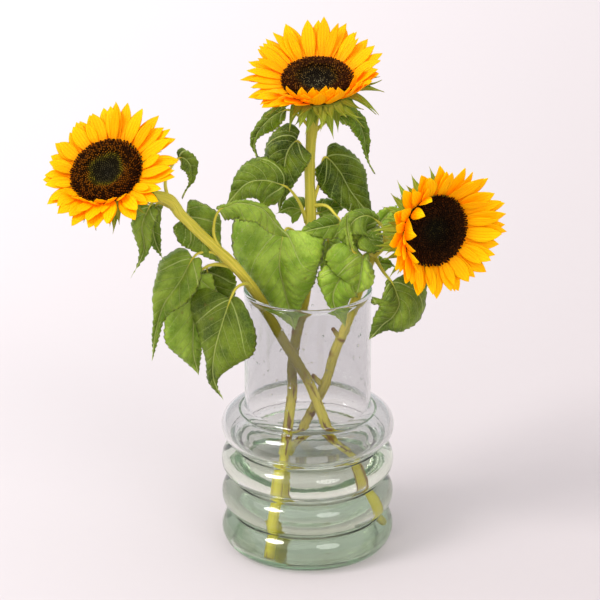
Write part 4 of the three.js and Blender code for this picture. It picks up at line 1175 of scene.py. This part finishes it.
def add_bowl(shape):
    """The cup's bowl with its faint ribs, closed over by a flat top under the disc."""
    outline = Route(CUP_OUTLINE)
    rows = [[shape.point((0, 0, -CUP_DEPTH), bract_place=(0, 0, 0), side=1.0)] * CUP_SEGMENTS]
    for i in range(CUP_RINGS + 1):
        spot = outline.at(i / CUP_RINGS)
        row = []
        for turn in turns(CUP_SEGMENTS):
            lump = noise.noise(Vector((math.cos(turn) * 2, math.sin(turn) * 2, i / 6)))
            rib = 1 + 0.012 * math.sin(18 * turn) + 0.02 * lump
            place = (spot.x * rib * math.cos(turn), spot.x * rib * math.sin(turn), spot.z)
            row.append(shape.point(place, bract_place=(0.1, turn * 6, 0.5), side=1.0))
        rows.append(row)
    rows.append([shape.point((0, 0, CUP_TOP), bract_place=(0, 0, 0), side=1.0)] * CUP_SEGMENTS)
    shape.wrap(rows)


def bract_half_width(s):
    return BRACT_WIDTH / 2 * (1 - s) ** 1.9 * (1 + 2.5 * s) + 0.1


def bract_lift(s, across, t):
    return 0.3 * abs(across) + 0.25 * math.cos(3 * math.pi * t) * (1 - s)


def cup_shape(head):
    draw = seeded_numbers(head["seed"] + 100)
    shape = Shape()
    add_bowl(shape)
    for row, (count, root_radius, root_height, turn_back, size) in enumerate(BRACT_ROWS):
        for i in range(count):
            number = i + 24 * row
            angle = 2 * math.pi * (i + 0.5 * (row % 2) + 0.3 * (draw() - 0.5)) / count
            rise = math.radians(head["bract_rise"] - turn_back + 12 * (draw() - 0.5))
            length = BRACT_LENGTH * (0.85 + 0.3 * draw()) * size * around_head(head["bract_reach"], angle)
            sheet = add_strap(shape, {
                "angle": angle, "rise": rise, "curl": math.radians(90 * (draw() - 0.42)),
                "twist": 0.8 * (draw() - 0.5), "length": length * BRACT_TAIL,
                "root_radius": root_radius, "root_height": root_height, "half": BRACT_HALF_THICKNESS,
                "lean": 0.5 * math.sin(number * 2.4), "half_width": bract_half_width, "lift": bract_lift,
            }, BRACT_COLUMNS, lambda s, across: {"bract_place": (s, across, number * 0.37)})
            for line in sheet[3:-2]:
                for rim in (line[0], line[-1]):
                    place = shape.points[rim]
                    outward = (place - shape.points[line[BRACT_COLUMNS // 2]]).normalized()
                    outward += Vector((draw() - 0.5, draw() - 0.5, draw() - 0.5)) * 0.8
                    add_hair(shape, place - outward * 0.15, outward, 0.7 + 1.1 * draw(), BRACT_HAIR,
                             bract_place=(0.1, 0.0, 0.5), side=1.0)
    return shape


def bract_skin():
    """Light green at the root and browner at the tip, streaked, with a pale keel and dark edges."""
    finish = Finish("bract_skin")
    s, across, number = finish.split(finish.mark("bract_place"))
    streak = finish.speckle(finish.join(s * 2.0, across * 1.3, number), 1.0, 3.0)
    cloud = finish.speckle(finish.node("ShaderNodeTexCoord", result="Object"), 160.0, 3.0)
    colour = finish.blend(s.fade(0.0, 0.8), BRACT_ROOT_GREEN, BRACT_TIP_GREEN)
    colour = finish.blend(streak.fade(0.35, 0.7) * 0.4, colour, BRACT_STREAK)
    colour = finish.blend(abs(across).fade(2.6, 5.0, 0.0, 0.5), colour, BRACT_EDGE_GREEN)
    colour = finish.blend(s.fade(0.8, 1.0) * 0.75, colour, BRACT_TIP_BROWN)
    colour = finish.blend(abs(across).fade(0.2, 0.6, 0.35, 0.0), colour, BRACT_KEEL)
    finish.set(base_color=colour, roughness=cloud.fade(0.3, 0.7, 0.5, 0.68))
    finish.set(subsurface_weight=0.25, subsurface_scale=0.0012, subsurface_radius=(0.8, 1.0, 0.2))
    finish.sheen(0.1)
    finish.relief(streak + 0.4 * cloud, 0.0005, 0.8)
    return finish


bract_finish = bract_skin()
for side, head in HEADS.items():
    cup = cup_shape(head).build(f"{side}_cup_and_bracts", bract_finish, head_place(head))
    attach(cup, "root")
    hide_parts(f"{side}_bracts")


# The petals
# Two rows of golden ray petals round each disc, with a few short ones inside them. Each is a thin
# ribbed strap that narrows to a root, ends in a point and is more orange towards the disc.

PETALS_PER_ROW = 16
ROOT_RADIUS = 38
# The root radius and height of the outer and the inner row, of the row that fills their gaps, of
# the petals folded over the disc and of the short ones.
PETAL_ROWS = [(38.6, -2.9), (ROOT_RADIUS, -1.9)]
FILL_ROOT = (ROOT_RADIUS, -2.4)
FOLDED_ROOT = (37, -1.0)
SHORT_ROOT = (37.6, -1.4)
FOLDED_SHARE = 0.86
PETAL_WIDTH = 15.5
PETAL_HALF_THICKNESS = 0.35
PETAL_COLUMNS = 8
SHORT_PETALS = 9
# Each head's painted glow, an emission that brightens its petals and warms their shade in place of light
# shining through them (strongest on the right head, which faces away from the key lamp), and their tone at
# the root, the middle and the tip.
PETAL_TONES = {
    "left": (0.14, tone(250, 150, 0), tone(255, 179, 0), tone(255, 191, 2)),
    "top": (0.15, tone(250, 148, 0), tone(255, 176, 0), tone(255, 186, 2)),
    "right": (0.17, tone(252, 160, 0), tone(255, 191, 0), tone(255, 203, 3)),
}
PAINTED_PETAL_GLOW = tone(255, 140, 0)


def petal_half_width(width):
    def half(s):
        swell = 0.42 + 0.58 * math.sin(min(s / 0.5, 1) * math.pi / 2)
        if s > 0.5:
            swell *= 1 - ((s - 0.5) / 0.5) ** 2.0
        return width / 2 * swell
    return half


def petal_lift(width, number):
    ribs = 0.22 + 0.1 * math.sin(number * 1.7)

    def lift(s, across, t):
        channel = 0.16 * (math.sqrt(across ** 2 + 2.2) - 1.48)
        rib = ribs * math.cos(across * 2 * math.pi / (width * 0.3)) * min(1, s * 5) * (1 - s * 0.5)
        wave = 0.8 * noise.noise(Vector((s * 1.6, t * 0.7, number * 2.3))) * min(1, s * 3)
        return channel + rib + wave * (0.4 + abs(t))
    return lift


def add_petal(shape, angle, rise, curl, root, root_height, reach, width, twist, number):
    """One petal of a head, its angles in radians and its reach from the root to the tip."""
    add_strap(shape, {
        "angle": angle, "rise": rise, "curl": curl, "length": reach / math.cos(rise) + 2.5,
        "root_radius": root - 2.5, "root_height": root_height, "twist": twist,
        "half": PETAL_HALF_THICKNESS, "lean": 0.3 * math.sin(number * 5.1),
        "half_width": petal_half_width(width), "lift": petal_lift(width, number),
    }, PETAL_COLUMNS, lambda s, across: {"petal_place": (s, across, number * 0.61)})


def petal_shape(head):
    """Two full rows, a row that fills their gaps, the ones folded over the disc and a few short ones."""
    draw = seeded_numbers(head["seed"])
    shape = Shape()
    for row, (root, root_height) in enumerate(PETAL_ROWS):
        for i in range(PETALS_PER_ROW):
            angle = 2 * math.pi * (i + 0.5 * row + 0.35 * (draw() - 0.5)) / PETALS_PER_ROW
            rise = math.radians(around_head(head["rise"], angle) + 8 * row + 5 * (draw() - 0.5))
            curl = math.radians(around_head(head["curl"], angle) + 10 * (draw() - 0.5))
            reach = around_head(head["reach"], angle) * (1 - 0.06 * row) - root + 5 * (draw() - 0.5)
            width = PETAL_WIDTH * (0.9 + 0.2 * draw())
            twist = 0.5 * (draw() - 0.5)
            number = i + PETALS_PER_ROW * row + head["seed"]
            add_petal(shape, angle, rise, curl, root, root_height, reach, width, twist, number)
    for i in range(head["fill"]):
        angle = 2 * math.pi * (i + 0.6 * (draw() - 0.5)) / head["fill"]
        rise = math.radians(around_head(head["rise"], angle) + 4 + 8 * (draw() - 0.5))
        curl = math.radians(around_head(head["curl"], angle) + 16 * (draw() - 0.5))
        reach = (around_head(head["reach"], angle) * (0.92 + 0.08 * draw())) - ROOT_RADIUS
        width = PETAL_WIDTH * (0.7 + 0.3 * draw())
        add_petal(shape, angle, rise, curl, *FILL_ROOT, reach, width, 0.8 * (draw() - 0.5), i + 60)
    for bearing, steepness, bend, length in head["folded"]:
        rise = math.radians(steepness)
        reach = length * math.cos(rise)
        twist = 0.9 * (draw() - 0.5)
        add_petal(shape, math.radians(bearing), rise, math.radians(bend), *FOLDED_ROOT, reach,
                  PETAL_WIDTH * FOLDED_SHARE, twist, bearing)
    for i in range(SHORT_PETALS):
        angle = 2 * math.pi * (i + 0.8 * (draw() - 0.5)) / SHORT_PETALS
        rise = math.radians(min(72, around_head(head["rise"], angle) + 20 + 12 * (draw() - 0.5)))
        curl = math.radians(around_head(head["curl"], angle) + 20 * draw())
        reach = (around_head(head["reach"], angle) - ROOT_RADIUS) * (0.5 + 0.25 * draw())
        width = PETAL_WIDTH * (0.55 + 0.2 * draw())
        add_petal(shape, angle, rise, curl, *SHORT_ROOT, reach, width, 1.2 * (draw() - 0.5), i + 90)
    return shape


def petal_skin(name, painted_glow, root_tone, middle_tone, tip_tone):
    """Orange at the root and in the grooves, more golden outwards, each petal a little different."""
    finish = Finish(name)
    s, across, number = finish.split(finish.mark("petal_place"))
    back = finish.mark("side", "Fac").fade(0.4, 0.6)
    streak = finish.speckle(finish.join(s * 0.8, across * 0.9, number * 7.0), 1.0, 2.0)
    fine = finish.speckle(finish.join(s * 1.2, across * 3.2, number * 3.0), 1.0, 1.0)
    rib = abs((across * 0.34 + 0.08 * streak + 0.5).fraction() - 0.5).fade(0.0, 0.22, 1.0, 0.0)
    own = finish.speckle(finish.join(number * 9.0, 0.3, 0.7), 1.0, 0.0)
    colour = finish.blend(s.fade(0.0, 0.45), root_tone, middle_tone)
    colour = finish.blend(s.fade(0.5, 1.0) * 0.8, colour, tip_tone)
    colour = finish.blend(own.fade(0.35, 0.65) * 0.3, colour, root_tone)
    colour = finish.blend(streak.fade(0.5, 0.75) * 0.12, colour, root_tone)
    colour = finish.blend(rib * s.fade(0.0, 0.95, 0.6, 0.15), colour, root_tone)
    colour = finish.blend(fine.fade(0.55, 0.8) * 0.1, colour, tip_tone)
    colour = finish.blend(back * 0.1, colour, root_tone)
    finish.set(base_color=colour, roughness=fine.fade(0.3, 0.7, 0.45, 0.6))
    finish.set(subsurface_weight=0.3, subsurface_scale=0.0016, subsurface_radius=(1.0, 0.5, 0.05))
    # Painted glow: the petals give off orange light of their own, standing in for light that shines through
    # them into their shade.
    finish.set(emission_color=PAINTED_PETAL_GLOW, emission_strength=painted_glow)
    finish.sheen(0.06)
    finish.relief(streak * 0.2 + fine * 0.1 - rib * 0.9, 0.0004, 0.8)
    return finish


for side, head in HEADS.items():
    finish = petal_skin(f"{side}_petal_skin", *PETAL_TONES[side])
    petals = petal_shape(head).build(f"{side}_ray_petals", finish, head_place(head))
    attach(petals, "root")
    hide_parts(f"{side}_petals")


# The discs
# Each head's middle is a crowded spiral of florets: open brown ones with orange tips in a raised
# ring outside, green or dark buds in the sunken middle, all grown on one firm green bed.

DISC_RADIUS = 36.6
DISC_UNDERSIDE = -4
# The face's radius and height from its sunken middle, over the raised ring, to its edge.
DISC_RINGS = [(0, -1.8), (9, -0.6), (16, 2.4), (23, 5.1), (30, 4.2), (35.4, 1.6), (36.6, -0.6)]
BED_DEPTH = 1.4
BED_RADII = range(34, 0, -2)
BED_SIDES = 60
FLORETS = 1050
FLORET_SIDES = 6
FLORET_SINK = 1.6
GOLDEN_TURN = math.radians(137.508)
# A floret's radius at shares of its height: an open one flares into a star, a bud is a blunt peg.
OPEN_FLORET = [(0.75, 0.0), (0.62, 0.45), (1.0, 0.78), (0.5, 0.86), (0.42, 1.0)]
BUD = [(0.95, 0.0), (1.02, 0.5), (0.75, 0.85)]
# The share of the radius from which the florets outwards are open, and the share of all the
# florets that have bright tips.
OPEN_ZONES = {"left": 0.60, "top": 0.56, "right": 0.42}
TIP_SHARES = {"left": 0.55, "top": 0.35, "right": 0.3}
# The florets' tone from the middle outwards, low down and at their tips.
LOW_TONES = {
    "left": [
        (0.0, tone(28, 25, 14)), (0.36, tone(34, 28, 12)), (0.46, tone(60, 52, 9)),
        (0.54, tone(58, 36, 4)), (0.62, tone(44, 20, 2)), (1.0, tone(42, 18, 2)),
    ],
    "top": [
        (0.0, tone(36, 30, 20)), (0.42, tone(30, 23, 14)), (0.52, tone(50, 34, 10)),
        (0.62, tone(54, 25, 6)), (1.0, tone(56, 25, 6)),
    ],
    "right": [
        (0.0, tone(24, 22, 12)), (0.3, tone(26, 18, 8)), (0.5, tone(34, 17, 6)), (1.0, tone(46, 22, 6)),
    ],
}
TIP_TONES = {
    "left": [
        (0.0, tone(56, 50, 38)), (0.36, tone(60, 54, 26)), (0.46, tone(116, 102, 18)),
        (0.56, tone(138, 78, 6)), (1.0, tone(112, 54, 3)),
    ],
    "top": [
        (0.0, tone(120, 112, 84)), (0.3, tone(90, 80, 50)), (0.5, tone(110, 78, 20)),
        (1.0, tone(134, 68, 12)),
    ],
    "right": [(0.0, tone(60, 54, 24)), (0.4, tone(54, 34, 12)), (1.0, tone(92, 46, 10))],
}
FLORET_SHADE = tone(14, 7, 2)
FLORET_GRAIN = tone(30, 18, 8)


def disc_height(radius):
    for (inner, low), (outer, high) in zip(DISC_RINGS, DISC_RINGS[1:]):
        if radius <= outer:
            share = (radius - inner) / (outer - inner)
            return low + (high - low) * share * share * (3 - 2 * share)
    return DISC_RINGS[-1][1]


def add_bed(shape):
    """The green bed that the florets grow on, a little under their face."""
    outline = [(DISC_RADIUS - 1.5, DISC_UNDERSIDE), (DISC_RADIUS - 1.2, -1.5)]
    outline += [(radius, disc_height(radius) - BED_DEPTH) for radius in BED_RADII]
    rows = [[shape.point((0, 0, DISC_UNDERSIDE), floret=(0.5, 0, 0.5))] * BED_SIDES]
    for radius, height in outline:
        row = []
        for turn in turns(BED_SIDES):
            place = (radius * math.cos(turn), radius * math.sin(turn), height)
            row.append(shape.point(place, floret=(radius / DISC_RADIUS, 0, 0.5)))
        rows.append(row)
    rows.append([shape.point((0, 0, disc_height(0) - BED_DEPTH), floret=(0, 0, 0.5))] * BED_SIDES)
    shape.wrap(rows)


def disc_shape(head, open_zone):
    """The bed with its florets, each on the golden turn from the last and leaning outwards."""
    draw = seeded_numbers(head["seed"] + 200)
    shape = Shape()
    add_bed(shape)
    for n in range(FLORETS):
        spread = math.sqrt((n + 0.5) / FLORETS)
        radius = (DISC_RADIUS - 0.9) * spread
        turn = n * GOLDEN_TURN
        outward = Vector((math.cos(turn), math.sin(turn), 0))
        sideways = Vector((-math.sin(turn), math.cos(turn), 0))
        is_open = spread + 0.05 * (draw() - 0.5) > open_zone
        lean = 0.35 * spread + 0.25 * (draw() - 0.5) + 0.9 * max(0, spread - 0.93) / 0.07
        stand = Vector((0, 0, 1)) + outward * lean + sideways * 0.25 * (draw() - 0.5)
        stand.normalize()
        root = outward * radius + Vector((0, 0, disc_height(radius) - FLORET_SINK))
        luck = draw()
        height = 2.4 + 1.5 * draw() if is_open else 1.6 + 0.5 * draw()
        rows = []
        for size, level in OPEN_FLORET if is_open else BUD:
            ring = []
            for j in range(FLORET_SIDES):
                bearing = 2 * math.pi * (j + 0.5 * (n % 2)) / FLORET_SIDES
                star = 1.25 if is_open and size == 1.0 and j % 2 else 1.0
                aside = outward * math.cos(bearing) + sideways * math.sin(bearing)
                place = root + stand * (height * level) + aside * (size * star)
                ring.append(shape.point(place, floret=(spread, level, luck)))
            rows.append(ring)
        top = shape.point(root + stand * (height * 1.08), floret=(spread, 1.08, luck))
        shape.wrap(rows + [[top] * FLORET_SIDES])
        under = shape.point(root, floret=(spread, 0, luck))
        for j in range(FLORET_SIDES):
            shape.face(under, rows[0][(j + 1) % FLORET_SIDES], rows[0][j])
    return shape


def disc_skin(name, low_stops, tip_stops, tip_share):
    """Florets coloured by how far out they stand, with lighter tips on a share of them."""
    finish = Finish(name)
    spread, level, luck = finish.split(finish.mark("floret"))
    place = finish.node("ShaderNodeTexCoord", result="Object")
    grain = finish.speckle(place, 900.0, 2.0)
    ripe = spread + (finish.speckle(place, 55.0, 2.0) - 0.5) * 0.3
    low = finish.node("ShaderNodeValToRGB", {"stops": low_stops}, {"Fac": ripe})
    tips = finish.node("ShaderNodeValToRGB", {"stops": tip_stops}, {"Fac": ripe})
    lit = level.fade(0.7, 1.0) * luck.fade(1 - tip_share - 0.1, 1 - tip_share + 0.1)
    colour = finish.blend(lit, low, tips)
    # Painted shade: each floret darkens low down, where it stands among its neighbours.
    colour = finish.blend(level.fade(0.0, 0.6, 0.75, 0.0), colour, FLORET_SHADE)
    colour = finish.blend(grain.fade(0.5, 0.8) * 0.3, colour, FLORET_GRAIN)
    finish.set(base_color=colour, roughness=grain.fade(0.3, 0.7, 0.55, 0.8))
    finish.sheen(0.05)
    finish.relief(grain, 0.0003, 0.6)
    return finish


for side, head in HEADS.items():
    finish = disc_skin(f"{side}_floret_skin", LOW_TONES[side], TIP_TONES[side], TIP_SHARES[side])
    disc = disc_shape(head, OPEN_ZONES[side]).build(f"{side}_disc_florets", finish, head_place(head))
    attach(disc, "root")
    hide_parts(f"{side}_disc")


# The water
# Clean water poured in to a little above the third ring. It wets the glass, climbs it by a
# millimetre at the edge and stands round the stems, which go through it in plain holes.

WATER_LEVEL = 124
# How far the water reaches into the glass, so that no air shows between them.
WETTING = 0.06
# How high it climbs, over what width that fades, the rings of the climb as distances from the
# glass, and the radii of the rings of its level face.
CLIMB = 1.4
CLIMB_SPREAD = 1.3
CLIMB_RINGS = (0.5, 1, 1.7, 2.6, 4, 6)
FACE_RINGS = (76, 60, 45, 30, 15, 0)
# A hole's size as a share of its stem's radius, so that no gap shows, and its share of the way up.
HOLE_SHARE = 0.86
HOLE_REACH = 0.6
HOLE_RINGS = 60
HOLE_SIDES = 16
WATER_IOR = 1.333
WATER_SHADE = (0.88, 0.88, 0.87, 1.0)
WATER_DEPTH_TINT = (0.45, 0.60, 0.0, 1.0)
WATER_DEPTH_STRENGTH = 0.8


def water_shape():
    corner, bearing = floor_corner(WALL - WETTING)
    wall = wall_profile(WALL - WETTING, bearing)
    wet = [spot for spot in corner + wall if spot[1] < WATER_LEVEL + CLIMB - 0.3]
    edge = wet[-1][0] + 0.1
    top = [(edge, WATER_LEVEL + CLIMB)]
    for step in CLIMB_RINGS:
        top.append((edge - step, WATER_LEVEL + CLIMB * math.exp(-step / CLIMB_SPREAD)))
    top += [(radius, WATER_LEVEL) for radius in FACE_RINGS]
    return turned([(0, FLOOR_THICKNESS - WETTING)] + wet + top, VASE_SEGMENTS)


def bore_hole(body, side, size, finish):
    """Takes the hole of one stem out of the water."""
    hole = Shape()
    shares = [-0.001 + HOLE_REACH * i / HOLE_RINGS for i in range(HOLE_RINGS + 1)]
    add_tube(hole, stem_route(side), shares, HOLE_SIDES, lambda share, turn: size, lambda share, turn: {})
    cutter = hole.build(f"{side}_hole", finish)
    cut = body.modifiers.new(f"{side}_hole", "BOOLEAN")
    cut.operation = "DIFFERENCE"
    cut.solver = "EXACT"
    cut.object = cutter
    holed = bpy.data.meshes.new_from_object(body.evaluated_get(bpy.context.evaluated_depsgraph_get()))
    body.modifiers.clear()
    body.data = holed
    bpy.data.objects.remove(cutter)


water_finish = clear_finish("clean_water", WATER_IOR, WATER_SHADE, WATER_DEPTH_TINT, WATER_DEPTH_STRENGTH)
place = water_finish.node("ShaderNodeTexCoord", result="Object")
water_finish.relief(water_finish.speckle(place, 30.0, 1.0), 0.0004, 0.3)
water = water_shape().build("clean_water", water_finish)
for side, stem in STEMS.items():
    bore_hole(water, side, stem["radius"] * HOLE_SHARE, water_finish)
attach(water, "root")
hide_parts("water")


# The drops
# Small drops of the same water that cling to the inside of the neck and to the stems between the
# rings and the rim, where the water splashed as the vase was filled.

DROP_SEED = 71
NECK_DROPS = 90
DROPS_PER_STEM = 34
DROP_SIDES = 10
# A drop's section, as the height and the radius of each ring, for a drop of 1 mm.
DROP_RINGS = [(-0.12, 0.0), (-0.12, 0.9), (0.1, 1.0), (0.32, 0.86), (0.48, 0.5), (0.54, 0.0)]
# The lowest drop in the neck and the height over which the drops thin out upwards.
DROPS_FROM = 176
DROPS_OVER = 92
# The stretch of a stem with drops, from its share of the way up and over how much of it.
STEM_DROPS_FROM = 0.24
STEM_DROPS_OVER = 0.26


def add_drop(shape, centre, inward, size):
    """A low dome that stands on a wall, with its flat side a little sunk into it."""
    first = inward.orthogonal().normalized()
    second = inward.cross(first)
    rows = []
    for level, reach in DROP_RINGS:
        middle = centre + inward * (size * level)
        if reach == 0:
            rows.append([shape.point(middle)] * DROP_SIDES)
            continue
        ring = []
        for turn in turns(DROP_SIDES):
            aside = first * math.cos(turn) + second * math.sin(turn)
            ring.append(shape.point(middle + aside * (size * reach)))
        rows.append(ring)
    shape.wrap(rows)


drops = Shape()
draw = seeded_numbers(DROP_SEED)
for i in range(NECK_DROPS):
    turn = 2 * math.pi * draw()
    height = DROPS_FROM + DROPS_OVER * draw() ** 1.4
    inward = Vector((-math.cos(turn), -math.sin(turn), 0))
    centre = -inward * (NECK_RADIUS - WALL) + Vector((0, 0, height))
    add_drop(drops, centre, inward, 0.6 + 1.3 * draw() ** 2)
for side, stem in STEMS.items():
    line = stem_route(side)
    for i in range(DROPS_PER_STEM):
        share = STEM_DROPS_FROM + STEM_DROPS_OVER * draw()
        around = Vector((draw() - 0.5, -draw(), draw() - 0.5)).cross(line.heading(share)).normalized()
        around = -around if around.y > 0 else around
        add_drop(drops, line.at(share) + around * stem["radius"], around, 0.5 + 0.7 * draw() ** 2)
drops = drops.build("water_drops", water_finish)
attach(drops, "root")


# The table, the light and the camera
# A plain pale table under soft light from the upper left, with a weaker lamp on the right, seen
# from a little above.

TABLE_REACH = 8000
TABLE_CELLS = 8
# The table's tone where it is lit most, and its darker tone where painted shade falls towards the right and
# the front.
TABLE_LIGHT = tone(225, 218, 220)
TABLE_DARK = tone(190, 180, 181)
TABLE_FLECK = tone(238, 232, 233)
# Each lamp's bearing to the right of the camera, elevation and spread in degrees, strength and colour.
LAMPS = {
    "key_lamp": (-58, 48, 22, 1.7, (1.0, 0.985, 0.965)),
    "soft_lamp": (-40, 60, 80, 0.75, (1.0, 0.985, 0.965)),
    "side_lamp": (30, 36, 30, 0.6, (1.0, 1.0, 1.0)),
}
ROOM_COLOUR = (0.96, 0.97, 1.0, 1.0)
ROOM_STRENGTH = 0.76
# How often light may be bent or mirrored on its way through the glass and the water, scattered
# by plain surfaces, and let straight through on its way to a shadow.
CLEAR_BOUNCES = 64
PLAIN_BOUNCES = 4
SHADOW_BOUNCES = 40
CAMERA_TARGET = Vector((-7.93, 0, 274))
CAMERA_ELEVATION = math.radians(21.5)
CAMERA_DISTANCE = 3400
CAMERA_CLIP_END = 100
FRAME_WIDTH = 618
SENSOR = 36


def table_skin():
    """Pale paper with painted shade that darkens it a little towards the right and the front, faintly
    flecked.
    """
    finish = Finish("pale_table")
    x, y, z = finish.split(finish.node("ShaderNodeTexCoord", result="Object"))
    # Painted shade: the paper darkens towards the right and the front, as the light falls off.
    painted_falloff = 0.50 + x * 0.60 - y * 0.15
    paper = finish.speckle(finish.join(x, y, z), 60.0, 3.0)
    colour = finish.blend(painted_falloff, TABLE_LIGHT, TABLE_DARK)
    finish.set(base_color=finish.blend(paper * 0.04, colour, TABLE_FLECK), roughness=0.9)
    finish.sheen(0.1)
    return finish


def table_shape():
    shape = Shape()
    for i in range(TABLE_CELLS + 1):
        for j in range(TABLE_CELLS + 1):
            place = (TABLE_REACH * (2 * i / TABLE_CELLS - 1), TABLE_REACH * (2 * j / TABLE_CELLS - 1), 0)
            shape.point(place)
    for i in range(TABLE_CELLS):
        for j in range(TABLE_CELLS):
            corner = i * (TABLE_CELLS + 1) + j
            shape.face(corner, corner + TABLE_CELLS + 1, corner + TABLE_CELLS + 2, corner + 1)
    return shape


def add_lamp(name, bearing, elevation, spread, strength, colour):
    """A round soft lamp far off."""
    light = bpy.data.lights.new(name, "SUN")
    light.energy = strength
    light.angle = math.radians(spread)
    light.color = colour
    made = bpy.data.objects.new(name, light)
    turn = math.radians(bearing)
    lift = math.radians(elevation)
    towards = Vector((math.sin(turn) * math.cos(lift), -math.cos(turn) * math.cos(lift), math.sin(lift)))
    made.rotation_euler = towards.to_track_quat("Z", "Y").to_euler()
    bpy.context.scene.collection.objects.link(made)


floor = table_shape().build("pale_table", table_skin())
if floor.data.polygons[0].normal.z < 0:
    floor.data.flip_normals()

for name, settings in LAMPS.items():
    add_lamp(name, *settings)

world = bpy.data.worlds.new("soft_room")
world.use_nodes = True
room = world.node_tree.nodes["Background"]
room.inputs["Color"].default_value = ROOM_COLOUR
room.inputs["Strength"].default_value = ROOM_STRENGTH

scene = bpy.context.scene
scene.world = world
scene.view_settings.view_transform = "Standard"
scene.cycles.caustics_reflective = False
scene.cycles.caustics_refractive = False
scene.cycles.max_bounces = CLEAR_BOUNCES
scene.cycles.transmission_bounces = CLEAR_BOUNCES
scene.cycles.glossy_bounces = CLEAR_BOUNCES
scene.cycles.diffuse_bounces = PLAIN_BOUNCES
scene.cycles.transparent_max_bounces = SHADOW_BOUNCES

camera_data = bpy.data.cameras.new("camera")
camera_data.sensor_width = SENSOR
camera_data.lens = SENSOR * CAMERA_DISTANCE / FRAME_WIDTH
camera_data.clip_end = CAMERA_CLIP_END
camera = bpy.data.objects.new("camera", camera_data)
back = Vector((0, -math.cos(CAMERA_ELEVATION), math.sin(CAMERA_ELEVATION)))
camera.location = (CAMERA_TARGET + back * CAMERA_DISTANCE) * MM
camera.rotation_euler = back.to_track_quat("Z", "Y").to_euler()
scene.collection.objects.link(camera)
scene.camera = camera
